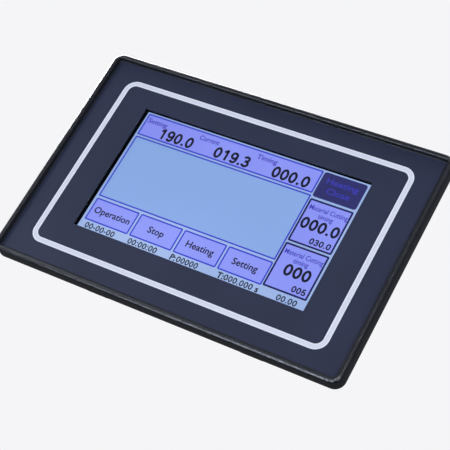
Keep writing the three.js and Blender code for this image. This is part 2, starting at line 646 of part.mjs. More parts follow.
function comShell() {
  const flangeBack = comFlange + COM_FLANGE;
  let body = plate(comX, portZ, COM_FLANGE_WIDTH, COM_FLANGE_HEIGHT, comFlange, flangeBack)
    .add(slab(dShape(COM_SHELL_WIDTH, COM_SHELL_HEIGHT, comX, portZ), comFlange + COM_FLANGE / 2, shellTop));
  const inner = dShape(COM_SHELL_WIDTH - 2 * COM_SHEET, COM_SHELL_HEIGHT - 2 * COM_SHEET, comX, portZ);
  body = body.subtract(slab(inner, comFlange - PAST, shellTop + PAST));
  for (const offset of screwOffsets) {
    const hole = COM_SCREW.radius + FIT;
    body = body.subtract(rod(comX + offset, portZ, hole, comFlange - PAST, flangeBack + PAST));
  }
  return body;
}

function comInsulator() {
  const slack = 2 * (COM_SHEET + RUN_GAP);
  const top = shellTop - COM_SHEET;
  let body = plate(comX, portZ, COM_FLANGE_WIDTH - 2 * COM_SHEET, COM_SHELL_HEIGHT, boardBack, comFlange)
    .add(slab(dShape(COM_SHELL_WIDTH - slack, COM_SHELL_HEIGHT - slack, comX, portZ), comFlange - PAST, top));
  for (const offset of screwOffsets) {
    const tip = bayFloor - COM_SCREW.length;
    body = body.subtract(rod(comX + offset, portZ, COM_SCREW.radius + FIT, tip - FIT, comFlange + PAST));
  }
  COM_PIN.rows.forEach((count, row) => {
    for (let i = 0; i < count; i += 1) {
      const x = comX + (i - (count - 1) / 2) * COM_PIN.pitch;
      const z = portZ + (row === 0 ? COM_PIN.row : -COM_PIN.row);
      body = body.subtract(rod(x, z, COM_PIN.radius, top - COM_PIN.depth, top + PAST, 8));
    }
  });
  return body;
}

function jackScrew(x) {
  const top = bayFloor + COM_SCREW.height;
  const hexRadius = COM_SCREW.across / Math.sqrt(3);
  return rod(x, portZ, hexRadius, bayFloor, top, 6)
    .add(rod(x, portZ, COM_SCREW.radius, bayFloor - COM_SCREW.length, bayFloor + PAST))
    .subtract(rod(x, portZ, COM_SCREW.radius, top - COM_SCREW.socket, top + PAST));
}

panel.add(part('com_port_shell', comShell(), steel));
panel.add(part('com_port_insulator', comInsulator(), portBlack));
screwOffsets.forEach((offset, i) => {
  panel.add(part(`com_jack_screw_${i + 1}`, jackScrew(comX + offset), steel));
});

// ------------------------------------------------------------------------------------------ USB port

const usbTop = bayFloor + USB_STAND;
const usbRoot = boardBack + USB_SHEET;
const usbSheets = 2 * USB_SHEET;
const usbInside = plate(usbX, portZ, USB_WIDTH - usbSheets, USB_HEIGHT - usbSheets, usbRoot, usbTop + PAST);
const usbShell = plate(usbX, portZ, USB_WIDTH, USB_HEIGHT, boardBack, usbTop).subtract(usbInside);
panel.add(part('usb_port_shell', usbShell, steel));
const usbSlack = 2 * (USB_SHEET + RUN_GAP);
const tongueWidth = USB_WIDTH - usbSlack - 2 * RUN_GAP;
const usbTongue = plate(usbX, portZ, USB_WIDTH - usbSlack, USB_HEIGHT - usbSlack, usbRoot, usbRoot + USB_BASE)
  .add(plate(usbX, portZ - USB_TONGUE / 2, tongueWidth, USB_TONGUE, usbRoot + PAST, usbTop - USB_STAND));
panel.add(part('usb_port_tongue', usbTongue, portBlack));

// ----------------------------------------------------------------------------------- power terminals

const terminalTop = bayFloor + TERMINAL_STAND;
const cageFront = bayFloor - WALL / 2;
const cageBack = cageFront + CAGE.height;
const cageRoom = { front: cageFront - FIT, back: cageBack + CAGE_TRAVEL + RUN_GAP };
const cageZ = terminalFront + CAGE.wall + CAGE.depth / 2;
const terminalHead = cageRoom.back + TERMINAL_ROOF;
const poleX = (i) => terminalX + (i - (POLES - 1) / 2) * POLE_PITCH;

function terminalBlock() {
  let body = plate(terminalX, terminalZ, terminalWidth, TERMINAL_DEPTH, boardBack, terminalTop);
  const roomBack = cageZ + CAGE.depth / 2 + FIT;
  const headWell = TERMINAL_SCREW.head + FIT;
  const shankWell = TERMINAL_SCREW.radius + RUN_GAP;
  for (let i = 0; i < POLES; i += 1) {
    const x = poleX(i);
    const side = CAGE.width / 2 + FIT;
    const mouth = terminalFront - PAST;
    body = body.subtract(block(x - side, x + side, cageRoom.front, cageRoom.back, mouth, roomBack));
    body = body.subtract(rod(x, cageZ, headWell, terminalHead - RUN_GAP, terminalTop + PAST));
    body = body.subtract(rod(x, cageZ, shankWell, cageRoom.back - PAST, terminalHead + PAST));
  }
  return body;
}

function terminalCage(x) {
  const mouthWidth = CAGE.width - 2 * CAGE.wall;
  const mouthDepth = CAGE.depth + 2 * PAST;
  return plate(x, cageZ, CAGE.width, CAGE.depth, cageFront, cageBack)
    .subtract(plate(x, cageZ, mouthWidth, mouthDepth, cageFront + CAGE.wall, cageBack - CAGE.roof))
    .subtract(rod(x, cageZ, TERMINAL_SCREW.radius + RUN_GAP, cageFront + CAGE.roof, cageBack + PAST));
}

for (let i = 0; i < POLES; i += 1) {
  const length = terminalHead - cageBack + TERMINAL_SCREW.reach;
  const turned = screw(poleX(i), cageZ, terminalHead, TERMINAL_SCREW, length, true);
  panel.add(part(`terminal_screw_${i + 1}`, turned, steel));
  panel.add(part(`terminal_cage_${i + 1}`, terminalCage(poleX(i)), steel));
}
panel.add(part('power_terminal_block', terminalBlock(), terminalGreen));

// ------------------------------------------------------------------------- option and reset switches

const dipTop = boardBack + DIP_HEIGHT;
const dipOffsets = [-DIP_PITCH / 2, DIP_PITCH / 2];
const slotDepth = SLIDER.depth + SLIDER.gap;
let dipBody = plate(dipX, portZ, DIP_WIDTH, DIP_LENGTH, boardBack, dipTop);
for (const offset of dipOffsets) {
  const slotWidth = SLIDER.width + 2 * SLIDER.gap;
  const slotLength = SLIDER.length + DIP_TRAVEL + 2 * SLIDER.gap;
  dipBody = dipBody.subtract(
    plate(dipX + offset, portZ, slotWidth, slotLength, dipTop - slotDepth, dipTop + PAST));
}
panel.add(part('dip_switch_body', dipBody, switchRed));
dipOffsets.forEach((offset, i) => {
  const rest = portZ - DIP_TRAVEL / 2;
  const front = dipTop - SLIDER.depth;
  const slider = plate(dipX + offset, rest, SLIDER.width, SLIDER.length, front, dipTop + SLIDER.proud);
  panel.add(part(`dip_slider_${i + 1}`, slider, nylonWhite));
});

const wellFloor = boardBack + TACT_HEIGHT - BUTTON_WELL;
const tactBody = plate(tactX, portZ, TACT_SIZE, TACT_SIZE, boardBack, boardBack + TACT_HEIGHT)
  .subtract(rod(tactX, portZ, BUTTON_RADIUS + 2 * RUN_GAP, wellFloor, bayFloor));
panel.add(part('reset_switch_body', tactBody, steel));
const buttonFront = wellFloor + BUTTON_TRAVEL + RUN_GAP;
const resetButton = rod(tactX, portZ, BUTTON_RADIUS, buttonFront, bayFloor + BUTTON_PROUD);
panel.add(part('reset_button', resetButton, portBlack));

// ------------------------------------------------------------------------------------- panel clamps

/** Clamp pieces stand on the plane z = 0, the outside of a case wall, with the screw's axis along Y. */
const screwLift = GASKET_GAP + GASKET_WIDTH / 2;
const socketFloor = FOOT_REST + FOOT_LENGTH - SOCKET_SINK;

function clampBracket() {
  const top = screwLift + FOOT_RADIUS - 2 * RUN_GAP;
  const back = BRACKET_FRONT + BRACKET_DEPTH;
  const half = HOOK_WIDTH / 2;
  const inner = -WALL - FIT;
  const reach = inner - HOOK_SHEET;
  return plate(0, (FIT + top) / 2, BRACKET_WIDTH, top - FIT, BRACKET_FRONT, back)
    .add(block(-half, half, legFront, legFront + HOOK_LEG, reach, FIT + PAST))
    .add(block(-half, half, legFront - HOOK_TOE, legFront + HOOK_LEG, reach, inner))
    .subtract(rod(0, screwLift, M3_RADIUS + RUN_GAP, BRACKET_FRONT - PAST, back + PAST));
}

function clampFoot() {
  const back = FOOT_REST + FOOT_LENGTH;
  return rod(0, screwLift, FOOT_RADIUS, FOOT_REST, back)
    .subtract(rod(0, screwLift, M3_RADIUS + RUN_GAP, socketFloor - RUN_GAP, back + PAST));
}

function clampScrew() {
  const back = socketFloor + SET_SCREW_LENGTH;
  const hexRadius = KEY_ACROSS / Math.sqrt(3);
  return rod(0, screwLift, M3_RADIUS, socketFloor, back)
    .subtract(rod(0, screwLift, hexRadius, back - KEY_DEPTH, back + PAST, 6));
}

corners.forEach(([side, end], i) => {
  const clamp = new THREE.Group();
  clamp.add(part(`clamp_bracket_${i + 1}`, clampBracket(), darkSteel));
  clamp.add(part(`clamp_foot_${i + 1}`, clampFoot(), nylonWhite));
  clamp.add(part(`clamp_screw_${i + 1}`, clampScrew(), steel));
  clamp.position.set(side * clampX, 0, end * caseHeight / 2);
  clamp.rotation.y = end > 0 ? 0 : Math.PI;
  panel.add(clamp);
});

export default panel;
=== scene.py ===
"""A small operator panel: a framed touch screen in a moulded case with clamps and ports behind."""

import math

import bmesh
import bpy
from mathutils import Matrix, Vector


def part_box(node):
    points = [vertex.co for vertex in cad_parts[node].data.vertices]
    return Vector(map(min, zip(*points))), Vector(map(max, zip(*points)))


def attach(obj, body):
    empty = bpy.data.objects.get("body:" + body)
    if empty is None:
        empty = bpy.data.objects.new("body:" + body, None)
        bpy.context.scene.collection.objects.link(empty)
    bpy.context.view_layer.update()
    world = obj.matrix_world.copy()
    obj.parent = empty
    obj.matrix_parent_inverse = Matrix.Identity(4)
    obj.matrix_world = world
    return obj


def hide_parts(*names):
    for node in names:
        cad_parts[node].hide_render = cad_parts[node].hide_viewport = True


MM = 0.001
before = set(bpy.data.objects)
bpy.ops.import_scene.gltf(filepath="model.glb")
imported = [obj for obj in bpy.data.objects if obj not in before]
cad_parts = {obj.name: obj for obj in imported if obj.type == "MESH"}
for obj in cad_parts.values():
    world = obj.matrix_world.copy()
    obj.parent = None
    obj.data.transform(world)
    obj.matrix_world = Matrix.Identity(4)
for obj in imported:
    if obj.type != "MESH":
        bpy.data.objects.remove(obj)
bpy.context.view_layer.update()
scene = bpy.context.scene
scene.view_settings.view_transform = "Standard"

# ------------------------------------------------------------------------------------------ camera

VIEW_TARGET = Vector((0.0062, -0.004, -0.00645))
VIEW_DISTANCE = 0.475
VIEW_AZIMUTH = math.radians(26.7)
VIEW_ELEVATION = math.radians(-21.5)
VIEW_ROLL = math.radians(30.3)
VIEW_LENS = 107.7


def place_camera():
    data = bpy.data.cameras.new("camera")
    data.lens = VIEW_LENS
    data.sensor_width = 36
    camera = bpy.data.objects.new("camera", data)
    scene.collection.objects.link(camera)
    level = math.cos(VIEW_ELEVATION)
    back = Vector((math.sin(VIEW_AZIMUTH) * level, -math.cos(VIEW_AZIMUTH) * level, math.sin(VIEW_ELEVATION)))
    turn = back.to_track_quat("Z", "Y").to_matrix().to_4x4()
    camera.matrix_world = (Matrix.Translation(VIEW_TARGET + back * VIEW_DISTANCE) @ turn
                           @ Matrix.Rotation(VIEW_ROLL, 4, "Z"))
    scene.camera = camera


place_camera()

# --------------------------------------------------------------------------------------- materials


def linear(code, alpha=1.0):
    """An sRGB hex colour as linear values."""
    channels = [int(code[i:i + 2], 16) / 255 for i in (0, 2, 4)]
    return tuple(c / 12.92 if c <= 0.04045 else ((c + 0.055) / 1.055) ** 2.4 for c in channels) + (alpha,)


def add(tree, kind, inputs=None, **settings):
    """Adds a node. inputs maps a socket to a value, or to the output that is linked to it."""
    made = tree.nodes.new(kind)
    for name, value in settings.items():
        setattr(made, name, value)
    for socket, value in (inputs or {}).items():
        if isinstance(value, bpy.types.NodeSocket):
            tree.links.new(value, made.inputs[socket])
        else:
            made.inputs[socket].default_value = value
    return made


def blank_material(name):
    material = bpy.data.materials.new(name)
    material.use_nodes = True
    material.node_tree.nodes.clear()
    return material, material.node_tree


def noise(tree, size, detail=2.0, stretch=(1, 1, 1), roughness=0.5):
    """Noise whose grains are about `size` millimetres across."""
    place = add(tree, "ShaderNodeTexCoord").outputs["Object"]
    scaled = add(tree, "ShaderNodeMapping", {"Vector": place, "Scale": stretch}).outputs["Vector"]
    return add(tree, "ShaderNodeTexNoise", {"Vector": scaled, "Scale": 1 / (size * MM), "Detail": detail,
                                            "Roughness": roughness}).outputs["Fac"]


def spread(tree, value, low, high, low_in=0.3, high_in=0.7):
    """Maps noise to a range of numbers."""
    return add(tree, "ShaderNodeMapRange", {"Value": value, "From Min": low_in, "From Max": high_in,
                                            "To Min": low, "To Max": high}).outputs["Result"]


def tinted(tree, value, dark, light, low=0.3, high=0.7):
    """Maps noise to a run of two colours."""
    ramp = add(tree, "ShaderNodeValToRGB", {"Fac": value})
    ramp.color_ramp.elements[0].position = low
    ramp.color_ramp.elements[0].color = linear(dark)
    ramp.color_ramp.elements[1].position = high
    ramp.color_ramp.elements[1].color = linear(light)
    return ramp.outputs["Color"]


def finish_material(tree, inputs, bumps=()):
    """Closes a material with one surface shader; each bump is (height, depth in mm, strength)."""
    normal = None
    for height, depth, strength in bumps:
        sockets = {"Height": height, "Distance": depth * MM, "Strength": strength}
        if normal is not None:
            sockets["Normal"] = normal
        normal = add(tree, "ShaderNodeBump", sockets).outputs["Normal"]
    if normal is not None:
        inputs = dict(inputs, Normal=normal)
    shader = add(tree, "ShaderNodeBsdfPrincipled", inputs)
    add(tree, "ShaderNodeOutputMaterial", {"Surface": shader.outputs["BSDF"]})


def moulded(name, dark, light, rough, grain, depth, ior=1.5, strength=1.0, mottle=6.0):
    """Injection-moulded plastic with a spark-eroded skin: grain mm across, depth mm high."""
    material, tree = blank_material(name)
    cloud = noise(tree, mottle, 3.0)
    pits = noise(tree, grain, 2.0, roughness=0.6)
    finish_material(tree, {"Base Color": tinted(tree, cloud, dark, light), "IOR": ior,
                           "Roughness": spread(tree, pits, rough - 0.07, rough + 0.07)},
                    [(pits, depth, strength)])
    return material


def bezel_abs():
    """Black ABS from a spark-eroded mould: pale sparkles where light grazes its rounded edges."""
    material, tree = blank_material("spark_eroded_black_abs")
    fine = noise(tree, 0.5, 3.0, roughness=0.7)
    coarse = noise(tree, 1.3, 2.0)
    finish_material(tree, {"Base Color": tinted(tree, coarse, "14171c", "20242b"), "IOR": 1.52,
                           "Roughness": spread(tree, fine, 0.26, 0.5)},
                    [(fine, 0.12, 0.9), (coarse, 0.12, 0.5)])
    return material


def overlay_polyester():
    """Navy ink printed behind matt polyester film: an even, dry colour with a very fine tooth."""
    material, tree = blank_material("matt_printed_polyester")
    tooth = noise(tree, 0.25, 2.0, roughness=0.6)
    cloud = noise(tree, 30.0, 2.0)
    finish_material(tree, {"Base Color": tinted(tree, cloud, "252c45", "2a314b"), "IOR": 1.48,
                           "Roughness": spread(tree, tooth, 0.48, 0.6)}, [(tooth, 0.006, 0.6)])
    return material


def silver_ink(name, dark, light):
    """Silver-grey screen ink under the film: fine metal flake gives it a faint shimmer."""
    material, tree = blank_material(name)
    flake = noise(tree, 0.18, 2.0, roughness=0.7)
    finish_material(tree, {"Base Color": tinted(tree, flake, dark, light), "Roughness": 0.5,
                           "Metallic": 0.0}, [(flake, 0.004, 0.5)])
    return material


def touch_sheet():
    """Clear touch glass: it only adds a faint gloss over the display."""
    material, tree = blank_material("clear_touch_glass")
    smear = noise(tree, 14.0, 4.0, stretch=(1, 1, 2.2), roughness=0.6)
    gloss = add(tree, "ShaderNodeBsdfGlossy", {"Color": linear("ffffff"),
                                               "Roughness": spread(tree, smear, 0.06, 0.16)})
    clear = add(tree, "ShaderNodeBsdfTransparent", {"Color": linear("fbfcff")})
    edge = add(tree, "ShaderNodeFresnel", {"IOR": 1.35})
    mixed = add(tree, "ShaderNodeMixShader", {0: edge.outputs["Fac"], 1: clear.outputs["BSDF"],
                                              2: gloss.outputs["BSDF"]})
    add(tree, "ShaderNodeOutputMaterial", {"Surface": mixed.outputs["Shader"]})
    return material


def lit_colour(name, dark, light, size=60.0):
    """Liquid-crystal colour lit from behind: even, with the slight cloud of a cheap backlight."""
    material, tree = blank_material(name)
    cloud = noise(tree, size, 2.0)
    colour = tinted(tree, cloud, dark, light, 0.35, 0.65)
    finish_material(tree, {"Base Color": linear("05060a"), "Roughness": 0.4, "Emission Color": colour,
                           "Emission Strength": 1.0})
    return material


def plated_steel(name, dark, light, rough, grain=(1, 1, 1), size=0.5):
    """Plated steel: bright, with a fine drawn or barrelled texture that breaks up the gloss."""
    material, tree = blank_material(name)
    cloud = noise(tree, 3.0, 3.0)
    drawn = noise(tree, size, 3.0, stretch=grain, roughness=0.6)
    finish_material(tree, {"Base Color": tinted(tree, cloud, dark, light), "Metallic": 1.0,
                           "Roughness": spread(tree, drawn, rough - 0.08, rough + 0.08)},
                    [(drawn, 0.01, 0.35)])
    return material


def solder_mask():
    """Green solder mask over copper: glossy lacquer, paler where tracks lie under it."""
    material, tree = blank_material("green_solder_mask")
    place = add(tree, "ShaderNodeTexCoord").outputs["Object"]
    bricks = add(tree, "ShaderNodeTexBrick", {
        "Vector": add(tree, "ShaderNodeMapping", {"Vector": place, "Rotation": (math.radians(90), 0, 0)}).outputs[
            "Vector"], "Scale": 1 / (20 * MM), "Mortar Size": 0.012, "Brick Width": 0.34, "Row Height": 0.11,
        "Color1": linear("1b4f31"), "Color2": linear("1f5a37"), "Mortar": linear("2c7a4c")})
    finish_material(tree, {"Base Color": bricks.outputs["Color"], "Roughness": 0.28, "IOR": 1.55,
                           "Coat Weight": 0.4, "Coat Roughness": 0.12}, [(bricks.outputs["Fac"], 0.03, 0.4)])
    return material


MATERIALS = {
    "bezel": bezel_abs(),
    "film": overlay_polyester(),
    "line_edge": silver_ink("silver_ink_edge", "e4e8f2", "eff1f8"),
    "line_middle": silver_ink("silver_ink_middle", "d8dce8", "e4e7f0"),
    # Black ABS of the rear case, from a coarser mould than the bezel: dull, with an orange-peel skin.
    "case": moulded("coarse_black_abs", "1c1d21", "26282d", 0.6, 0.5, 0.05),
    # Chloroprene sponge: dead matt, with open cells.
    "gasket": moulded("chloroprene_sponge", "26282b", "34363a", 0.9, 0.45, 0.12),
    "foam": moulded("black_foam_tape", "121315", "1c1d20", 0.95, 0.4, 0.1),
    # Unfilled nylon: milky, waxy gloss.
    "nylon": moulded("natural_nylon", "d8d5ca", "e6e3da", 0.42, 0.8, 0.01),
    # Green polyamide of a connector block: satin, slightly uneven colour.
    "terminal": moulded("green_polyamide", "256b3b", "2f7d46", 0.45, 0.4, 0.02),
    "socket": moulded("glass_filled_polyester", "141517", "202124", 0.5, 0.3, 0.02),
    "switch": moulded("red_polyamide", "8d2822", "a8362f", 0.42, 0.5, 0.015),
    # Moulded epoxy of chips: dull charcoal with a sandy skin.
    "chip": moulded("chip_epoxy", "17181a", "222326", 0.62, 0.15, 0.01),
    "sleeve": moulded("printed_vinyl_sleeve", "1b2440", "24304f", 0.3, 2.0, 0.01),
    # Amber polyimide tails with copper under them: glossy and warm.
    "flex": moulded("amber_polyimide", "a5621f", "bb7a2d", 0.25, 1.2, 0.01),
    # Plain polyester label: satin and pale.
    "label": moulded("satin_polyester_label", "c3c6c9", "cfd2d4", 0.38, 0.2, 0.004),
    "label_ink": moulded("grey_label_ink", "4a4d52", "55585d", 0.5, 0.3, 0.004),
    "zinc": plated_steel("zinc_plated_steel", "9ea3a8", "bcc0c4", 0.38, size=1.2),
    "nickel": plated_steel("nickel_plated_steel", "b9b7b0", "d2d0ca", 0.24, size=0.4),
    "black_steel": plated_steel("black_zinc_steel", "1f2022", "2e3033", 0.42, size=0.6),
    "gold": plated_steel("gold_flashed_contact", "b8933f", "d6b25c", 0.3, size=0.3),
    "board": solder_mask(),
    "glass": touch_sheet(),
    "lcd_dark": moulded("black_display_glass", "07080b", "0c0d12", 0.2, 4.0, 0.002),
    "page": lit_colour("lit_sky_blue", "8caee4", "92b2ec"),
    "field": lit_colour("lit_periwinkle", "8c94f4", "98a2ff"),
    "strip": lit_colour("lit_pale_blue", "94b0e0", "acc4ee"),
    "field_line": lit_colour("lit_blue_line", "3038c4", "3840cf"),
    "dark_line": lit_colour("lit_navy_line", "0c0e50", "12145c"),
    "dark_key": lit_colour("lit_navy_key", "2a2a66", "30306e"),
    "digits": lit_colour("lit_dark_digits", "04051c", "080a24"),
    "caption": lit_colour("lit_violet_caption", "3a32b4", "423abe"),
    "key_caption": lit_colour("lit_blue_caption", "3a3ab8", "4040c4"),
}

# ------------------------------------------------------------------------------------------- shapes


def finished(name, mesh, materials, body="root", stands_for=()):
    """Links a mesh as a piece of the panel."""
    mesh.name = name
    indices = [polygon.material_index for polygon in mesh.polygons]
    mesh.materials.clear()
    for key in ([materials] if isinstance(materials, str) else materials):
        mesh.materials.append(MATERIALS[key])
    mesh.polygons.foreach_set("material_index", indices)
    piece = bpy.data.objects.new(name, mesh)
    scene.collection.objects.link(piece)
    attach(piece, body)
    if stands_for:
        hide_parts(*stands_for)


def smooth(mesh, degrees=35.0):
    mesh.polygons.foreach_set("use_smooth", [True] * len(mesh.polygons))
    mesh.set_sharp_from_angle(angle=math.radians(degrees))
    mesh.update()
    return mesh


def to_mesh(shape, name="shape", outward=True):
    if outward:
        bmesh.ops.recalc_face_normals(shape, faces=shape.faces)
    mesh = bpy.data.meshes.new(name)
    shape.to_mesh(mesh)
    shape.free()
    return mesh


def rounded_loop(half_width, half_height, radius, y, centre_z=0.0, steps=8):
    """Points of a rounded rectangle in a plane of constant Y, all in millimetres."""
    points = []
    for quarter, (side, end) in enumerate(((1, -1), (1, 1), (-1, 1), (-1, -1))):
        for step in range(steps + 1):
            angle = math.radians(-90 + 90 * quarter + 90 * step / steps)
            points.append(Vector((side * (half_width - radius) + radius * math.cos(angle), y,
                                  centre_z + end * (half_height - radius) + radius * math.sin(angle))) * MM)
    return points


def loft(shape, loops, strip_materials=None):
    """Joins loops, and the last to the first, into one closed ring."""
    rings = [[shape.verts.new(point) for point in loop] for loop in loops]
    for index, ring in enumerate(rings):
        following = rings[(index + 1) % len(rings)]
        for i in range(len(ring)):
            j = (i + 1) % len(ring)
            face = shape.faces.new((ring[i], ring[j], following[j], following[i]))
            if strip_materials:
                face.material_index = strip_materials[index]


def bar(shape, low, high, edge=0.0, index=0):
    """A box between two corners in millimetres, with its edges broken by `edge`."""
    made = bmesh.ops.create_cube(shape, size=1.0)["verts"]
    size = [high[i] - low[i] for i in range(3)]
    middle = [(high[i] + low[i]) / 2 for i in range(3)]
    bmesh.ops.transform(shape, verts=made, matrix=Matrix.Translation(Vector(middle) * MM)
                        @ Matrix.Diagonal((size[0] * MM, size[1] * MM, size[2] * MM, 1)))
    faces = {face for vert in made for face in vert.link_faces}
    for face in faces:
        face.material_index = index
    if edge:
        edges = {e for vert in made for e in vert.link_edges}
        bmesh.ops.bevel(shape, geom=list(edges), offset=edge * MM, segments=2, profile=0.5, affect="EDGES",
                        material=-1)


def lathe(shape, profile, centre, sides=32):
    """Turns (radius, y) points in millimetres about an axis along Y through centre (x, z)."""
    x, z = centre
    rings = []
    for radius, y in profile:
        if radius == 0:
            rings.append([shape.verts.new(Vector((x, y, z)) * MM)])
            continue
        turn = [2 * math.pi * i / sides for i in range(sides)]
        rings.append([shape.verts.new(Vector((x + radius * math.cos(a), y, z + radius * math.sin(a))) * MM)
                      for a in turn])
    for first, second in zip(rings, rings[1:]):
        for i in range(sides):
            j = (i + 1) % sides
            corners = [first[i % len(first)], first[j % len(first)], second[j % len(second)],
                       second[i % len(second)]]
            shape.faces.new(list(dict.fromkeys(corners)))


def shifted(points, x):
    """Points moved along X by millimetres."""
    return [point + Vector((x * MM, 0, 0)) for point in points]


def slab(shape, points, travel, index=0):
    """A flat piece: the outline through the points, drawn out along Y by `travel` millimetres."""
    face = shape.faces.new([shape.verts.new(point) for point in points])
    face.material_index = index
    made = bmesh.ops.extrude_face_region(shape, geom=[face])["geom"]
    verts = [item for item in made if isinstance(item, bmesh.types.BMVert)]
    bmesh.ops.translate(shape, verts=verts, vec=Vector((0, travel * MM, 0)))


def plain_copy(node):
    """A merged copy of a CAD node's mesh."""
    shape = bmesh.new()
    shape.from_mesh(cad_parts[node].data)
    bmesh.ops.remove_doubles(shape, verts=shape.verts, dist=0.002 * MM)
    bmesh.ops.dissolve_limit(shape, angle_limit=math.radians(1), verts=shape.verts, edges=shape.edges)
    return shape


def applied(piece):
    """The piece's mesh with its modifiers in it."""
    evaluated = piece.evaluated_get(bpy.context.evaluated_depsgraph_get())
    mesh = bpy.data.meshes.new_from_object(evaluated)
    bpy.data.objects.remove(piece)
    return mesh


def scratch(mesh):
    piece = bpy.data.objects.new("scratch", mesh)
    scene.collection.objects.link(piece)
    return piece


def softened(node, width, segments=2, angle=40.0, smooth_angle=35.0):
    """A copy of a CAD node with its sharp edges rounded by `width` millimetres."""
    piece = scratch(to_mesh(plain_copy(node), node))
    bevel = piece.modifiers.new("edges", "BEVEL")
    bevel.width = width * MM
    bevel.segments = segments
    bevel.limit_method = "ANGLE"
    bevel.angle_limit = math.radians(angle)
    bevel.use_clamp_overlap = True
    rounded = scratch(smooth(applied(piece), smooth_angle))
    flat = rounded.modifiers.new("flat_faces", "WEIGHTED_NORMAL")
    flat.keep_sharp = True
    return applied(rounded)


def carved(mesh, cutter_mesh):
    """The mesh with the other mesh's volume cut out of it."""
    body = scratch(mesh)
    cutter = scratch(cutter_mesh)
    cut = body.modifiers.new("cut", "BOOLEAN")
    cut.operation = "DIFFERENCE"
    cut.solver = "EXACT"
    cut.object = cutter
    result = applied(body)
    bpy.data.objects.remove(cutter)
    return result


def node_box(node):
    """Corners of a CAD node in millimetres."""
    low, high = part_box(node)
    return [v / MM for v in low], [v / MM for v in high]


def middle_of(low, high):
    """The (x, z) centre of a box."""
    return (low[0] + high[0]) / 2, (low[2] + high[2]) / 2


def dressed(name, node, finish, slot, *edges, body="root"):
    """A CAD node with its edges broken; `edges` is what softened() takes after the node."""
    finished(name, softened(node, *edges), finish, body=body, stands_for=(node,))


# ------------------------------------------------------------------------------------ front bezel

BEZEL_LOW, BEZEL_HIGH = node_box("front_bezel")
FILM_LOW, FILM_HIGH = node_box("overlay_film")
GLASS_LOW, GLASS_HIGH = node_box("touch_panel")
DISPLAY_LOW, DISPLAY_HIGH = node_box("lcd_glass")
SEAL_LOW, SEAL_HIGH = node_box("touch_seal")
GASKET_LOW, GASKET_HIGH = node_box("panel_gasket")
CASE_LOW, CASE_HIGH = node_box("rear_housing")
FRAME_LOW, FRAME_HIGH = node_box("lcd_backlight_frame")

HALF_WIDTH = BEZEL_HIGH[0]
HALF_HEIGHT = BEZEL_HIGH[2]
RIM_TOP = BEZEL_LOW[1]
RECESS_GAP = 0.3
RECESS_HALF = (FILM_HIGH[0] + RECESS_GAP, FILM_HIGH[2] + RECESS_GAP)
LIP_FRONT = FILM_HIGH[1]
LIP_BACK = SEAL_LOW[1]
WINDOW_HALF = (47.72, 27.13)
WINDOW_Z = 0.8
POCKET_HALF = (FRAME_HIGH[0] + RECESS_GAP, FRAME_HIGH[2] + RECESS_GAP)
EDGE_ROUND = 1.5
NOTCH_HALF = 15.5      # the notch that lets the touch tail through
NOTCH_END = 55.95
POST_X = 55.5
POSTS = ((31.5, 2.4, 10.0), (21.0, 2.2, 8.0))      # height, radius and back end of the screw posts


def bezel_section():
    """Loops of the bezel from the window's front edge, out over the rim and back to the window."""
    def at(half, radius, y, z=0.0):
        return rounded_loop(half[0], half[1], radius, y, z)

    def inset(amount):
        return HALF_WIDTH - amount, HALF_HEIGHT - amount

    loops = [at(WINDOW_HALF, 0.25, LIP_FRONT, WINDOW_Z),
             at((RECESS_HALF[0] - 0.15, RECESS_HALF[1] - 0.15), 1.0, LIP_FRONT),
             at(RECESS_HALF, 1.1, LIP_FRONT - 0.15)]
    inner_round = 0.4
    for step in range(5):
        angle = math.radians(90 * step / 4)
        out = inner_round * (1 - math.cos(angle))
        loops.append(at((RECESS_HALF[0] + out, RECESS_HALF[1] + out), 1.1 + out,
                        RIM_TOP + inner_round * (1 - math.sin(angle))))
    for step in range(9):
        angle = math.radians(90 * step / 8)
        into = EDGE_ROUND * (1 - math.sin(angle))
        loops.append(at(inset(into), 4.0 - into, RIM_TOP + EDGE_ROUND * (1 - math.cos(angle))))
    loops += [at(inset(0), 4.0, -0.35), at(inset(0.1), 3.9, -0.1), at(inset(0.35), 3.65, 0.0)]
    groove_out = (GASKET_HIGH[0] + 0.1, GASKET_HIGH[2] + 0.1)
    groove_in = (CASE_HIGH[0] + 2.1, CASE_HIGH[2] + 2.1)
    loops += [at(groove_out, 7.9, 0.0), at(groove_out, 7.9, GASKET_LOW[1]),
              at(groove_in, 5.1, GASKET_LOW[1]), at(groove_in, 5.1, 0.0),
              at(POCKET_HALF, 0.4, 0.0), at(POCKET_HALF, 0.4, LIP_BACK),
              at(WINDOW_HALF, 0.25, LIP_BACK, WINDOW_Z)]
    return loops


def make_bezel():
    shape = bmesh.new()
    loft(shape, bezel_section())
    notch = bmesh.new()
    bar(notch, (POCKET_HALF[0] - 2, LIP_BACK, -NOTCH_HALF), (NOTCH_END, 1, NOTCH_HALF))
    posts = bmesh.new()
    posts.from_mesh(carved(to_mesh(shape), to_mesh(notch)))
    for side in (-1, 1):
        for end in (-1, 1):
            for z, radius, back in POSTS:
                lathe(posts, [(0, -0.6), (radius, -0.6), (radius, back - 0.2), (radius - 0.2, back),
                              (1.25, back), (1.25, 1.0), (0, 1.0)], (side * POST_X, end * z), 24)
    finished("bezel_frame", smooth(to_mesh(posts), 30), "bezel",
             stands_for=("front_bezel",))


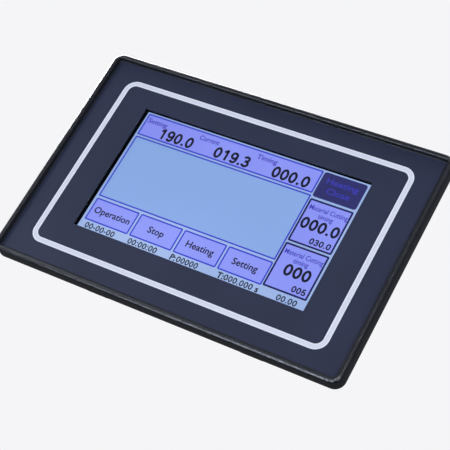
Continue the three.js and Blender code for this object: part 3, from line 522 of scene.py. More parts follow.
def make_film():
    front, back = FILM_LOW[1], FILM_HIGH[1]
    half = (FILM_HIGH[0], FILM_HIGH[2])
    shape = bmesh.new()
    loft(shape, [
        rounded_loop(WINDOW_HALF[0] + 0.04, WINDOW_HALF[1] + 0.04, 0.3, front, WINDOW_Z),
        rounded_loop(half[0] - 0.1, half[1] - 0.1, 0.4, front),
        rounded_loop(half[0], half[1], 0.5, front + 0.08),
        rounded_loop(half[0], half[1], 0.5, back),
        rounded_loop(WINDOW_HALF[0], WINDOW_HALF[1], 0.25, back, WINDOW_Z),
        rounded_loop(WINDOW_HALF[0], WINDOW_HALF[1], 0.25, front + 0.05, WINDOW_Z)])
    finished("overlay_sheet", smooth(to_mesh(shape), 30), "film",
             stands_for=("overlay_film",))


LINE_HALF = (60.9, 37.85)
LINE_WIDTH = 2.1
LINE_RADIUS = 5.0


def make_border_line():
    """The printed border: pale edges where the ink is thick, a little darker between them."""
    front = FILM_LOW[1]
    edge = 0.45
    insets = (0.0, edge, LINE_WIDTH - edge, LINE_WIDTH)
    shape = bmesh.new()
    loops = [rounded_loop(LINE_HALF[0] - i, LINE_HALF[1] - i, LINE_RADIUS - i, front - 0.012, steps=12)
             for i in insets]
    loops += [rounded_loop(LINE_HALF[0] - i, LINE_HALF[1] - i, LINE_RADIUS - i, front + 0.02, steps=12)
              for i in (LINE_WIDTH, 0.0)]
    loft(shape, loops, (0, 1, 0, 0, 0, 0))
    finished("border_line", smooth(to_mesh(shape), 30), ("line_edge", "line_middle"))


make_bezel()
make_film()
make_border_line()

# ----------------------------------------------------------------------------------- lit screen page

PAGE_WIDTH = 95.04      # the lit area of a 4.3 inch display
PAGE_HEIGHT = 53.86
PAGE_LEFT = 0.3 - PAGE_WIDTH / 2
PAGE_TOP = 1.1 + PAGE_HEIGHT / 2
PAGE_FRONT = DISPLAY_LOW[1]
LAYER = 0.016
LAYER_GAP = 0.004


def page_layer(level):
    """Front and back planes of a layer of the page; level 0 lies on the display glass."""
    return PAGE_FRONT - LAYER * (level + 1) - LAYER_GAP, PAGE_FRONT - LAYER * level - LAYER_GAP


def page_bar(shape, left, right, top, bottom, level, radius=0.0, index=0):
    """A flat area of the page, from distances across and down in millimetres."""
    front, back = page_layer(level)
    x = PAGE_LEFT + (left + right) / 2
    z = PAGE_TOP - (top + bottom) / 2
    half = (right - left) / 2, (bottom - top) / 2
    if radius <= 0:
        bar(shape, (x - half[0], front, z - half[1]), (x + half[0], back, z + half[1]), index=index)
    else:
        points = shifted(rounded_loop(half[0], half[1], radius, back, z, 4), x)
        slab(shape, points, front - back, index)


def outline(shape, left, right, top, bottom, width, level, radius=0.4, index=0):
    front, back = page_layer(level)
    x = PAGE_LEFT + (left + right) / 2
    z = PAGE_TOP - (top + bottom) / 2
    half = (right - left) / 2, (bottom - top) / 2
    loops = []
    for into, y in ((0, front), (width, front), (width, back), (0, back)):
        loops.append(shifted(rounded_loop(half[0] - into, half[1] - into, max(radius - into, 0.05), y, z, 4), x))
    loft(shape, loops, (index,) * 4)


def lettering(shape, words, height, level, index=0, left=None, right=None, centre=None, middle=0.0, width=None,
              bold=0.0):
    """Words on the page: capital height and place in millimetres, stretched to `width` if it is given."""
    curve = bpy.data.curves.new("words", "FONT")
    curve.body = words
    curve.extrude = 0.5
    curve.offset = bold
    curve.resolution_u = 3
    piece = scratch(curve)
    mesh = applied(piece)
    xs = [v.co.x for v in mesh.vertices]
    tall = height / CAPITAL_HEIGHT
    wide = tall if width is None else width / (max(xs) - min(xs))
    span = (max(xs) - min(xs)) * wide
    if left is not None:
        start = left
    elif right is not None:
        start = right - span
    else:
        start = centre - span / 2
    front, back = page_layer(level)
    thick = back - front
    place = Matrix(((wide * MM, 0, 0, (PAGE_LEFT + start - min(xs) * wide) * MM),
                    (0, 0, -thick * MM, (front + back) / 2 * MM),
                    (0, tall * MM, 0, (PAGE_TOP - middle - height / 2) * MM),
                    (0, 0, 0, 1)))
    mesh.transform(place)
    before = len(shape.faces)
    shape.from_mesh(mesh)
    shape.faces.ensure_lookup_table()
    for face in shape.faces[before:]:
        face.material_index = index


def capital_height():
    curve = bpy.data.curves.new("words", "FONT")
    curve.body = "0H"
    mesh = applied(scratch(curve))
    ys = [v.co.y for v in mesh.vertices]
    return max(ys) - min(ys)


CAPITAL_HEIGHT = capital_height()

# Plain lining figures drawn as strokes of even weight, one unit tall.
FIGURE_WEIGHT = 0.21
FIGURE_ADVANCE = 0.78
POINT_ADVANCE = 0.38


def arc(centre, reach, start, stop, count=12):
    """Points of an ellipse from one angle to another, in degrees."""
    angles = [math.radians(start + (stop - start) * i / count) for i in range(count + 1)]
    return [(centre[0] + reach[0] * math.cos(a), centre[1] + reach[1] * math.sin(a)) for a in angles]


FIGURES = {
    "0": [(arc((0.39, 0.5), (0.25, 0.42), 0, 360, 24)[:-1], True)],
    "1": [([(0.45, 0.0), (0.45, 0.995)], False), ([(0.45, 0.96), (0.33, 0.83), (0.16, 0.73)], False)],
    "3": [(arc((0.36, 0.725), (0.225, 0.2), 165, -90) + arc((0.36, 0.3), (0.26, 0.225), 90, -165), False)],
    "5": [([(0.62, 0.925), (0.235, 0.925), (0.175, 0.5)] + arc((0.375, 0.315), (0.255, 0.24), 140, -160),
           False)],
    "9": [(arc((0.385, 0.675), (0.245, 0.25), 0, 360, 20)[:-1], True),
          ([(0.63, 0.7), (0.633, 0.52)] + arc((0.38, 0.37), (0.25, 0.295), 0, -150), False)],
    ".": [([(0.19, 0.0), (0.19, FIGURE_WEIGHT)], False)],
    ":": [([(0.19, 0.0), (0.19, FIGURE_WEIGHT)], False), ([(0.19, 0.6), (0.19, 0.6 + FIGURE_WEIGHT)], False)],
    "-": [([(0.08, 0.36), (0.42, 0.36)], False)],
}


def figure_advance(sign):
    return {".": POINT_ADVANCE, ":": POINT_ADVANCE, "-": 0.5, " ": 0.4}.get(sign, FIGURE_ADVANCE)


def stroke(shape, points, closed, place, weight, front, back, index):
    """A stroke of even weight along points of the page, as a closed prism."""
    count = len(points)
    rings = []
    for i, (x, z) in enumerate(points):
        before = points[i - 1] if closed or i > 0 else points[i]
        after = points[(i + 1) % count] if closed or i < count - 1 else points[i]
        first = Vector((x - before[0], z - before[1]))
        second = Vector((after[0] - x, after[1] - z))
        along = ((first.normalized() if first.length else Vector((0, 0)))
                 + (second.normalized() if second.length else Vector((0, 0)))).normalized()
        reference = first if first.length else second
        stretch = 1 / max(along.dot(reference.normalized()), 0.5)
        side = Vector((-along.y, along.x)) * weight / 2 * stretch
        ring = []
        for sign, y in ((1, front), (-1, front), (-1, back), (1, back)):
            across, up = place(x + sign * side.x, z + sign * side.y)
            ring.append(shape.verts.new(Vector((across, y, up)) * MM))
        rings.append(ring)
    faces = []
    for i in range(count if closed else count - 1):
        first, second = rings[i], rings[(i + 1) % count]
        for a in range(4):
            b = (a + 1) % 4
            faces.append(shape.faces.new((first[a], first[b], second[b], second[a])))
    if not closed:
        faces.append(shape.faces.new(rings[0]))
        faces.append(shape.faces.new(reversed(rings[-1])))
    for face in faces:
        face.material_index = index


def figures(shape, text, height, level, index=0, left=None, right=None, middle=0.0, width=None, slant=0.0,
            weight=FIGURE_WEIGHT):
    """Figures on the page, stretched to `width` millimetres if it is given."""
    total = sum(figure_advance(sign) for sign in text)
    wide = height if width is None else width / total
    start = left if left is not None else right - total * wide
    front, back = page_layer(level)
    for sign in text:
        def place(x, z, start=start):
            return (PAGE_LEFT + start + (x + slant * z) * wide, PAGE_TOP - middle - height / 2 + z * height)
        for points, closed in FIGURES.get(sign, []):
            stroke(shape, points, closed, place, weight, front, back, index)
        start += figure_advance(sign) * wide


def make_page():
    ground = bmesh.new()
    page_bar(ground, 0, PAGE_WIDTH, 0, PAGE_HEIGHT, 0)
    finished("page_ground", to_mesh(ground), "strip")

    areas = bmesh.new()
    page_bar(areas, 0.9, 75.75, 11.1, 39.5, 1, 0.3, index=0)
    page_bar(areas, 0.75, 75.6, 0.56, 10.4, 1, 0.3, index=1)
    buttons = ((1.06, 20.0), (20.75, 38.75), (39.5, 57.2), (57.9, 75.75))
    for left, right in buttons:
        page_bar(areas, left, right, 40.4, 50.1, 1, 0.5, index=1)
    page_bar(areas, 76.1, 93.25, 12.3, 30.7, 1, 0.5, index=1)
    page_bar(areas, 76.1, 93.25, 31.4, 49.8, 1, 0.5, index=1)
    page_bar(areas, 76.06, 93.25, 0.6, 11.4, 1, 1.0, index=2)
    finished("page_areas", to_mesh(areas), ("page", "field", "dark_key"))

    lines = bmesh.new()
    outline(lines, 0.75, 75.6, 0.56, 10.4, 0.55, 2, index=0)
    outline(lines, 0.9, 75.75, 11.1, 39.5, 0.55, 2, index=0)
    for left, right in buttons:
        outline(lines, left, right, 40.4, 50.1, 0.55, 2, radius=0.6, index=0)
    outline(lines, 76.1, 93.25, 12.3, 30.7, 0.7, 2, radius=0.6, index=1)
    outline(lines, 76.1, 93.25, 31.4, 49.8, 0.7, 2, radius=0.6, index=1)
    finished("page_lines", to_mesh(lines), ("field_line", "dark_line"))

    words = bmesh.new()
    for left, caption, number, start, end in (
            (1.9, "Setting", "190.0", 8.9, 23.9), (24.9, "Current", "019.3", 33.0, 48.4),
            (49.5, "Timing", "000.0", 57.6, 73.0)):
        lettering(words, caption, 2.0, 2, index=1, left=left, middle=3.2, width=8.4, bold=0.014)
        figures(words, number, 4.6, 2, index=0, left=start, middle=7.0, width=end - start)
    for (left, right), word in zip(buttons, ("Operation", "Stop", "Heating", "Setting")):
        lettering(words, word, 2.6, 2, index=0, centre=(left + right) / 2, middle=45.1, bold=0.017)
    lettering(words, "Heating", 2.3, 2, index=2, centre=84.65, middle=3.7, width=12.5, bold=0.008)
    lettering(words, "Close", 2.3, 2, index=2, centre=84.65, middle=7.6, width=9.0, bold=0.008)
    for top, big, small, first, last in ((12.3, "000.0", "030.0", 77.1, 92.3), (31.4, "000", "005", 80.2, 90.8)):
        lettering(words, "Material Cutting", 1.9, 2, index=1, centre=84.9, middle=top + 3.2, width=15.0, bold=0.010)
        lettering(words, "timing", 1.9, 2, index=1, centre=84.9, middle=top + 5.8, width=5.8, bold=0.012)
        figures(words, big, 4.5, 2, index=0, left=first, middle=top + 9.8, width=last - first)
        figures(words, small, 2.4, 2, index=0, right=91.9, middle=top + 15.8, weight=0.205)
    figures(words, "00-00-00", 2.3, 2, index=0, left=2.6, middle=52.0, weight=0.185)
    figures(words, "00:00:00", 2.3, 2, index=0, left=21.5, middle=52.0, weight=0.185)
    lettering(words, "P:", 2.3, 2, index=0, left=39.8, middle=52.0, bold=0.03)
    figures(words, "00000", 2.3, 2, index=0, left=42.3, middle=52.0, weight=0.185)
    lettering(words, "T:", 2.3, 2, index=0, left=59.2, middle=52.0, bold=0.03)
    figures(words, "000.000", 2.3, 2, index=0, left=61.9, middle=52.0, weight=0.185)
    lettering(words, "s", 2.3, 2, index=0, left=74.6, middle=52.0, bold=0.03)
    figures(words, "00.00", 2.3, 2, index=0, left=82.8, middle=52.0, weight=0.185)
    finished("page_words", to_mesh(words), ("digits", "caption", "key_caption"))


make_page()

# ------------------------------------------------------------------------ repeated pieces as node trees


def new_tree(name, inputs):
    """A geometry tree with named inputs; returns the tree, its input node and the inputs' identifiers."""
    tree = bpy.data.node_groups.new(name, "GeometryNodeTree")
    tree.interface.new_socket("Geometry", in_out="OUTPUT", socket_type="NodeSocketGeometry")
    tree.interface.new_socket("Geometry", in_out="INPUT", socket_type="NodeSocketGeometry")
    identifiers = {}
    for label, kind in inputs.items():
        identifiers[label] = tree.interface.new_socket(label, in_out="INPUT", socket_type=kind).identifier
    return tree, add(tree, "NodeGroupInput"), identifiers


def close_tree(tree, given, geometry):
    """Ends a tree in real geometry with its material set."""
    real = add(tree, "GeometryNodeRealizeInstances", {"Geometry": geometry}).outputs["Geometry"]
    coloured = add(tree, "GeometryNodeSetMaterial", {"Geometry": real, "Material": given.outputs["Material"]})
    add(tree, "NodeGroupOutput", {0: coloured.outputs["Geometry"]})


def grown(setup, values, base=None):
    """The plain mesh that a tree makes from these values."""
    tree, identifiers = setup
    piece = scratch(base or bpy.data.meshes.new("seed"))
    modifier = piece.modifiers.new("grow", "NODES")
    modifier.node_group = tree
    for label, value in values.items():
        modifier[identifiers[label]] = value
    return applied(piece)


def thread_tree():
    """A screw thread along -Y: a ridge wound on a core."""
    tree, given, names = new_tree("screw_thread", {
        "Material": "NodeSocketMaterial", "Radius": "NodeSocketFloat", "Ridge": "NodeSocketFloat",
        "Length": "NodeSocketFloat", "Turns": "NodeSocketFloat", "Place": "NodeSocketVector"})
    spiral = add(tree, "GeometryNodeCurveSpiral", {
        "Resolution": 18, "Rotations": given.outputs["Turns"], "Start Radius": given.outputs["Radius"],
        "End Radius": given.outputs["Radius"], "Height": given.outputs["Length"]})
    upright = add(tree, "GeometryNodeSetCurveNormal", {"Curve": spiral.outputs["Curve"]}, mode="Z_UP")
    tooth = add(tree, "GeometryNodeCurvePrimitiveCircle", {"Resolution": 4, "Radius": given.outputs["Ridge"]})
    ridge = add(tree, "GeometryNodeCurveToMesh", {"Curve": upright.outputs["Curve"],
                                                  "Profile Curve": tooth.outputs["Curve"], "Fill Caps": True})
    laid = add(tree, "GeometryNodeTransform", {"Geometry": ridge.outputs["Mesh"],
                                               "Translation": given.outputs["Place"],
                                               "Rotation": (math.radians(-90), 0, 0)})
    close_tree(tree, given, laid.outputs["Geometry"])
    return tree, names


def row_tree():
    """Equal blocks in a straight row."""
    tree, given, names = new_tree("row_of_blocks", {
        "Material": "NodeSocketMaterial", "Count": "NodeSocketInt", "Start": "NodeSocketVector",
        "Step": "NodeSocketVector", "Size": "NodeSocketVector"})
    line = add(tree, "GeometryNodeMeshLine", {"Count": given.outputs["Count"],
                                              "Start Location": given.outputs["Start"],
                                              "Offset": given.outputs["Step"]})
    block = add(tree, "GeometryNodeMeshCube", {"Size": given.outputs["Size"]})
    row = add(tree, "GeometryNodeInstanceOnPoints", {"Points": line.outputs["Mesh"],
                                                     "Instance": block.outputs["Mesh"]})
    close_tree(tree, given, row.outputs["Instances"])
    return tree, names


def copies_tree():
    """One piece set at every point of the seed mesh."""
    tree, given, names = new_tree("copies_at_points", {
        "Material": "NodeSocketMaterial", "Piece": "NodeSocketObject"})
    piece = add(tree, "GeometryNodeObjectInfo", {"Object": given.outputs["Piece"]})
    set_out = add(tree, "GeometryNodeInstanceOnPoints", {"Points": given.outputs["Geometry"],
                                                         "Instance": piece.outputs["Geometry"]})
    close_tree(tree, given, set_out.outputs["Instances"])
    return tree, names


def scatter_tree():
    """Small board parts strewn over an area, turned square to it, never closer than Gap."""
    tree, given, names = new_tree("board_parts", {
        "Material": "NodeSocketMaterial", "Gap": "NodeSocketFloat", "Size": "NodeSocketVector",
        "Seed": "NodeSocketInt"})
    strewn = add(tree, "GeometryNodeDistributePointsOnFaces", {
        "Mesh": given.outputs["Geometry"], "Distance Min": given.outputs["Gap"], "Density Max": 40000.0,
        "Seed": given.outputs["Seed"]}, distribute_method="POISSON")
    chance = add(tree, "FunctionNodeRandomValue", {"Seed": given.outputs["Seed"]}, data_type="INT")
    for socket in chance.inputs:
        if socket.type == "INT" and socket.name == "Min":
            socket.default_value = 0
        if socket.type == "INT" and socket.name == "Max":
            socket.default_value = 1
    drawn = [socket for socket in chance.outputs if socket.type == "INT"][0]
    turn = add(tree, "ShaderNodeMath", {0: drawn, 1: math.radians(90)}, operation="MULTIPLY")
    angle = add(tree, "ShaderNodeCombineXYZ", {"Y": turn.outputs[0]})
    block = add(tree, "GeometryNodeMeshCube", {"Size": given.outputs["Size"]})
    parts = add(tree, "GeometryNodeInstanceOnPoints", {
        "Points": strewn.outputs["Points"], "Instance": block.outputs["Mesh"], "Rotation": angle.outputs[0]})
    close_tree(tree, given, parts.outputs["Instances"])
    return tree, names


THREAD = thread_tree()
ROW = row_tree()
COPIES = copies_tree()
SCATTER = scatter_tree()


def point_mesh(points):
    mesh = bpy.data.meshes.new("points")
    mesh.from_pydata([Vector(point) * MM for point in points], [], [])
    return mesh


def joined(meshes, degrees=35.0):
    """One mesh from several, keeping each one's material number as its place in the list."""
    shape = bmesh.new()
    for index, mesh in enumerate(meshes):
        before = len(shape.faces)
        shape.from_mesh(mesh)
        shape.faces.ensure_lookup_table()
        for face in shape.faces[before:]:
            face.material_index = index
    mesh = bpy.data.meshes.new("joined")
    shape.to_mesh(mesh)
    shape.free()
    return smooth(mesh, degrees)


# ------------------------------------------------------------------------------------------ rear case


def make_case():
    dressed("rear_shell", "rear_housing", "case", "case_plastic", 0.3, 2, 40, 30)


GASKET_WIDTH = 2.6
GASKET_CORNER = 7.8
GASKET_CROWN = 0.5


def make_gasket():
    """A square sponge cord pressed into its groove, crowned where it meets the door."""
    outer = (GASKET_HIGH[0], GASKET_HIGH[2])
    front, back = GASKET_LOW[1], GASKET_HIGH[1]
    section = [(0.0, front), (0.0, back - GASKET_CROWN)]
    for angle in (math.radians(30), math.radians(60), math.radians(90)):
        section.append((GASKET_CROWN - GASKET_CROWN * math.cos(angle),
                        back - GASKET_CROWN + GASKET_CROWN * math.sin(angle)))
    section += [(GASKET_WIDTH - x, y) for x, y in reversed(section)]
    shape = bmesh.new()
    loft(shape, [rounded_loop(outer[0] - into, outer[1] - into, GASKET_CORNER - into, y)
                 for into, y in section])
    finished("gasket_cord", smooth(to_mesh(shape), 50), "gasket",
             stands_for=("panel_gasket",))


def pan_head(radius, height, drive, length, shank):
    """A screw with its seat at the origin: a crowned head above +Y 0, a plain shank below it."""
    crown = height * 0.4
    profile = [(0, -length), (shank * 0.6, -length), (shank, -length + shank * 0.7), (shank, 0)]
    profile += [(radius - 0.1, 0), (radius, 0.1), (radius, height - crown)]
    for step in range(1, 6):
        angle = math.radians(90 * step / 5)
        reach = radius * math.cos(angle) if step < 5 else 0
        profile.append((reach, height - crown + crown * math.sin(angle)))
    shape = bmesh.new()
    lathe(shape, profile, (0, 0), 32)
    cutter = bmesh.new()
    half = radius * 0.12
    deep = height * 0.4
    if drive == "cross":
        reach = radius * 0.58
        bar(cutter, (-reach, deep, -half), (reach, height + 1, half))
        body = carved(to_mesh(shape), to_mesh(cutter))
        cutter = bmesh.new()
        bar(cutter, (-half, deep, -reach), (half, height + 1, reach))
        return smooth(carved(body, to_mesh(cutter)), 30)
    bar(cutter, (-radius - 1, deep, -half), (radius + 1, height + 1, half))
    return smooth(carved(to_mesh(shape), to_mesh(cutter)), 30)


def screw_set(name, kind, head, length, shank, finish):
    """Every screw of one kind on the fixed body, as copies of one screw."""
    nodes = [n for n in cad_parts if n.startswith(kind)]
    points = []
    for node in nodes:
        low, high = node_box(node)
        points.append(((low[0] + high[0]) / 2, high[1] - head[1], (low[2] + high[2]) / 2))
    template = scratch(pan_head(head[0], head[1], "cross", length, shank))
    mesh = grown(COPIES, {"Material": MATERIALS[finish], "Piece": template}, point_mesh(points))
    bpy.data.objects.remove(template)
    finished(name, smooth(mesh, 30), finish, stands_for=nodes)


def make_label():
    low, high = node_box("rating_label")
    shape = bmesh.new()
    x, z = middle_of(low, high)
    half = (high[0] - low[0]) / 2, (high[2] - low[2]) / 2
    slab(shape, shifted(rounded_loop(half[0], half[1], 1.2, low[1], z), x), high[1] - low[1])
    finished("rating_plate", smooth(to_mesh(shape), 30), "label",
             stands_for=("rating_label",))
    print_back = high[1] + 0.012
    print_front = high[1] - 0.01
    marks = bmesh.new()
    loops = []
    for into, y in ((1.0, print_front), (1.0, print_back), (1.3, print_back), (1.3, print_front)):
        loops.append(shifted(rounded_loop(half[0] - into, half[1] - into, 0.6, y, z), x))
    loft(marks, loops)
    for row in range(4):
        top = high[2] - 4.4 - row * 3.6
        bar(marks, (low[0] + 3, print_front, top - 0.25), (high[0] - 3, print_back, top))
    for column in (0.36, 0.68):
        at = low[0] + (high[0] - low[0]) * column
        bar(marks, (at - 0.12, print_front, low[2] + 2.2), (at + 0.12, print_back, high[2] - 4.4))
    finished("label_rules", to_mesh(marks), "label_ink")


make_case()
make_gasket()
make_label()
screw_set("case_screws", "housing_screw", (2.25, 1.8), 9.9, 1.2, "black_steel")
screw_set("board_screws", "board_screw", (2.2, 1.6), 5.9, 1.2, "nickel")

# ------------------------------------------------------------------------------------------- ports


TERMINAL_PITCH = 5.08
RIB_FLOOR = 20.4
CONTACT_PITCH = 2.77      # of a 9-pin D connector, with its two rows 2.84 apart
CONTACT_ROW = 1.42
DATA_PITCH = 2.33
OPTION_MARKS = (30.81, 33.35)      # X of the option switch's two strokes
SIGN_BACK, SIGN_FRONT = 19.95, 20.12
SIGN_ROW = -18.6
SIGNS = ((-43.45, "plus"), (-38.37, "minus"), (-33.29, "earth"))
THREAD_PITCH = 0.5      # M3


def make_terminals():
    """Three-way screw terminal: funnels over the screws, ribs between the ways."""
    low, high = node_box("power_terminal_block")
    body = softened("power_terminal_block", 0.25, 2, 40, 30)
    ribs = bmesh.new()
    middle = (low[0] + high[0]) / 2
    for gap in (-1.5, -0.5, 0.5, 1.5):
        x = middle + gap * TERMINAL_PITCH * (0.985 if abs(gap) > 1 else 1)
        bar(ribs, (x - 0.2, RIB_FLOOR, high[2] - 0.1), (x + 0.2, high[1] - 0.6, high[2] + 0.25), 0.06)
    rings = bmesh.new()
    for i in (1, 2, 3):
        first, last = node_box("terminal_screw_%d" % i)
        centre = middle_of(first, last)
        lathe(rings, [(2.1, high[1] - 0.1), (2.1, high[1] + 0.0), (2.3, high[1] + 0.25), (2.42, high[1] + 0.0),
                      (2.42, high[1] - 0.1), (2.1, high[1] - 0.1)], centre, 28)
    bmesh.ops.remove_doubles(rings, verts=rings.verts, dist=0.001 * MM)
    finished("terminal_housing", joined([body, to_mesh(ribs), to_mesh(rings)], 30), ("terminal",) * 3,
             stands_for=("power_terminal_block",))
    for i in (1, 2, 3):
        name = "terminal_screw_%d" % i
        first, last = node_box(name)
        head = pan_head(1.8, 1.6, "slot", 4.8, 1.35)
        head.transform(Matrix.Translation(Vector(((first[0] + last[0]) / 2, last[1] - 1.6,
                                                  (first[2] + last[2]) / 2)) * MM))
        finished("binding_screw_%d" % i, head, "nickel", body=name, stands_for=(name,))
        cage = "terminal_cage_%d" % i
        dressed("wire_clamp_%d" % i, cage, "zinc", "zinc_steel", 0.12, body=cage)


def make_serial_port():
    dressed("serial_shell", "com_port_shell", "nickel", "bright_steel", 0.2, 2, 40, 35)
    dressed("serial_insert", "com_port_insulator", "socket", "port_plastic", 0.12, 1, 60, 35)
    low, high = node_box("com_port_insulator")
    middle = middle_of(low, high)
    contacts = bmesh.new()
    for count, row in ((5, CONTACT_ROW), (4, -CONTACT_ROW)):
        for i in range(count):
            x = middle[0] + (i - (count - 1) / 2) * CONTACT_PITCH
            lathe(contacts, [(0.42, high[1] - 2.6), (0.42, high[1] - 0.4), (0.5, high[1] - 0.3),
                             (0.3, high[1] - 0.3), (0.3, high[1] - 2.6), (0.42, high[1] - 2.6)],
                  (x, middle[1] + row), 12)
    bmesh.ops.remove_doubles(contacts, verts=contacts.verts, dist=0.001 * MM)
    finished("serial_contacts", smooth(to_mesh(contacts)), "gold")
    for i in (1, 2):
        name = "com_jack_screw_%d" % i
        low, high = node_box(name)
        centre = middle_of(low, high)
        post = softened(name, 0.2, 2, 50, 30)
        rings = bmesh.new()
        for turn in range(5):
            y = high[1] - 0.7 - 0.6 * turn
            lathe(rings, [(1.43, y - 0.15), (1.25, y), (1.43, y + 0.15), (1.43, y - 0.15)], centre, 20)
        bmesh.ops.remove_doubles(rings, verts=rings.verts, dist=0.001 * MM)
        finished("jack_post_%d" % i, joined([post, to_mesh(rings)], 30), ("nickel",) * 2,
                 stands_for=(name,))


def make_usb_port():
    low, high = node_box("usb_port_shell")
    dressed("data_port_shell", "usb_port_shell", "nickel", "bright_steel", 0.12, 2, 40, 35)
    dressed("data_port_tongue", "usb_port_tongue", "socket", "port_plastic", 0.12)
    tongue_low, tongue_high = node_box("usb_port_tongue")
    middle_x = (tongue_low[0] + tongue_high[0]) / 2
    middle_z = (tongue_low[2] + tongue_high[2]) / 2
    contacts = grown(ROW, {
        "Material": MATERIALS["gold"], "Count": 4,
        "Start": Vector((middle_x - 3.5, tongue_high[1] - 3.0, middle_z + 0.03)) * MM,
        "Step": Vector((DATA_PITCH, 0, 0)) * MM, "Size": Vector((1.0, 5.0, 0.14)) * MM})
    finished("data_port_contacts", contacts, "gold")
    springs = bmesh.new()
    for side in (-1, 1):
        bar(springs, (middle_x + side * 3.0 - 1.0, high[1] - 4.5, low[2] + 0.42),
            (middle_x + side * 3.0 + 1.0, high[1] - 1.2, low[2] + 0.62), 0.08)
    finished("data_port_springs", smooth(to_mesh(springs)), "nickel")


def make_switches():
    low, high = node_box("dip_switch_body")
    body = softened("dip_switch_body", 0.15, 2, 40, 30)
    marks = bmesh.new()
    for i, x in enumerate(OPTION_MARKS, 1):
        bar(marks, (x - 0.12, high[1] - 0.01, low[2] + 0.7), (x + 0.12, high[1] + 0.02, low[2] + 1.7))
        if i == 2:
            bar(marks, (x - 0.62, high[1] - 0.01, low[2] + 0.7), (x - 0.38, high[1] + 0.02, low[2] + 1.7))
    finished("option_switch", joined([body, to_mesh(marks)], 30), ("switch", "nylon"),
             stands_for=("dip_switch_body",))
    for i in (1, 2):
        name = "dip_slider_%d" % i
        dressed("switch_key_%d" % i, name, "nylon", "white_nylon", 0.15, 3, body=name)
    dressed("reset_can", "reset_switch_body", "nickel", "bright_steel", 0.2, 2)
    low, high = node_box("reset_button")
    shape = bmesh.new()
    radius = (high[0] - low[0]) / 2
    lathe(shape, [(0, low[1]), (radius - 0.15, low[1]), (radius, low[1] + 0.15), (radius, high[1] - 0.4),
                  (radius - 0.12, high[1] - 0.12), (radius - 0.4, high[1]), (radius * 0.5, high[1] - 0.05),
                  (0, high[1] - 0.12)], middle_of(low, high), 28)
    finished("reset_key", smooth(to_mesh(shape), 30), "socket", body="reset_button",
             stands_for=("reset_button",))


def make_port_marks():
    """Plain raised signs on the bay floor over the terminal: plus, minus and earth."""
    marks = bmesh.new()
    front, back, z = SIGN_BACK, SIGN_FRONT, SIGN_ROW
    for x, kind in SIGNS:
        if kind == "earth":
            bar(marks, (x - 0.14, front, z), (x + 0.14, back, z + 1.0))
            for row in range(3):
                half = 0.95 - 0.32 * row
                bar(marks, (x - half, front, z - 0.18 - row * 0.5), (x + half, back, z + 0.06 - row * 0.5))
            continue
        bar(marks, (x - 0.85, front, z - 0.14), (x + 0.85, back, z + 0.14))
        if kind == "plus":
            bar(marks, (x - 0.14, front, z - 0.85), (x + 0.14, back, z + 0.85))
    finished("terminal_signs", to_mesh(marks), "label")


make_terminals()
make_serial_port()
make_usb_port()
make_switches()
make_port_marks()

# ------------------------------------------------------------------------------------------ clamps


def make_clamps():
    """Hooked bracket, nylon foot and threaded set screw, four times."""
    for i in (1, 2, 3, 4):
        bracket, foot, screw = ("clamp_%s_%d" % (kind, i) for kind in ("bracket", "foot", "screw"))
        dressed("hook_bracket_%d" % i, bracket, "black_steel", "black_steel", 0.35, 3, 40, 30, body=bracket)
        low, high = node_box(foot)
        radius = (high[0] - low[0]) / 2
        centre = middle_of(low, high)
        shape = bmesh.new()
        lathe(shape, [(0, low[1]), (radius - 0.35, low[1]), (radius - 0.1, low[1] + 0.12),
                      (radius, low[1] + 0.4), (radius, low[1] + 1.0), (radius - 0.25, low[1] + 1.15),
                      (radius - 0.25, low[1] + 1.45), (radius, low[1] + 1.6), (radius, high[1] - 0.2),
                      (radius - 0.2, high[1]), (1.62, high[1]), (1.62, low[1] + 0.9), (0, low[1] + 0.9)],
              centre, 36)
        finished("pressure_foot_%d" % i, smooth(to_mesh(shape), 40), "nylon", body=foot,
                 stands_for=(foot,))
        low, high = node_box(screw)
        core = bmesh.new()
        lathe(core, [(0, low[1]), (1.1, low[1]), (1.3, low[1] + 0.25), (1.3, high[1] - 0.2),
                     (1.12, high[1]), (0, high[1])], centre, 24)
        socket = bmesh.new()
        lathe(socket, [(0, high[1] - 2.0), (0.86, high[1] - 2.0), (0.86, high[1] + 1), (0, high[1] + 1)],
              centre, 6)
        drilled = carved(to_mesh(core), to_mesh(socket))
        ridge = grown(THREAD, {
            "Material": MATERIALS["zinc"], "Radius": 1.3 * MM, "Ridge": 0.19 * MM,
            "Length": (high[1] - low[1] - 0.9) * MM, "Turns": (high[1] - low[1] - 0.9) / THREAD_PITCH,
            "Place": Vector((centre[0], low[1] + 0.45, centre[1])) * MM})
        finished("set_screw_%d" % i, joined([drilled, ridge], 30), ("zinc",) * 2, body=screw,
                 stands_for=(screw,))


make_clamps()

# ---------------------------------------------------------------------------------- board and display


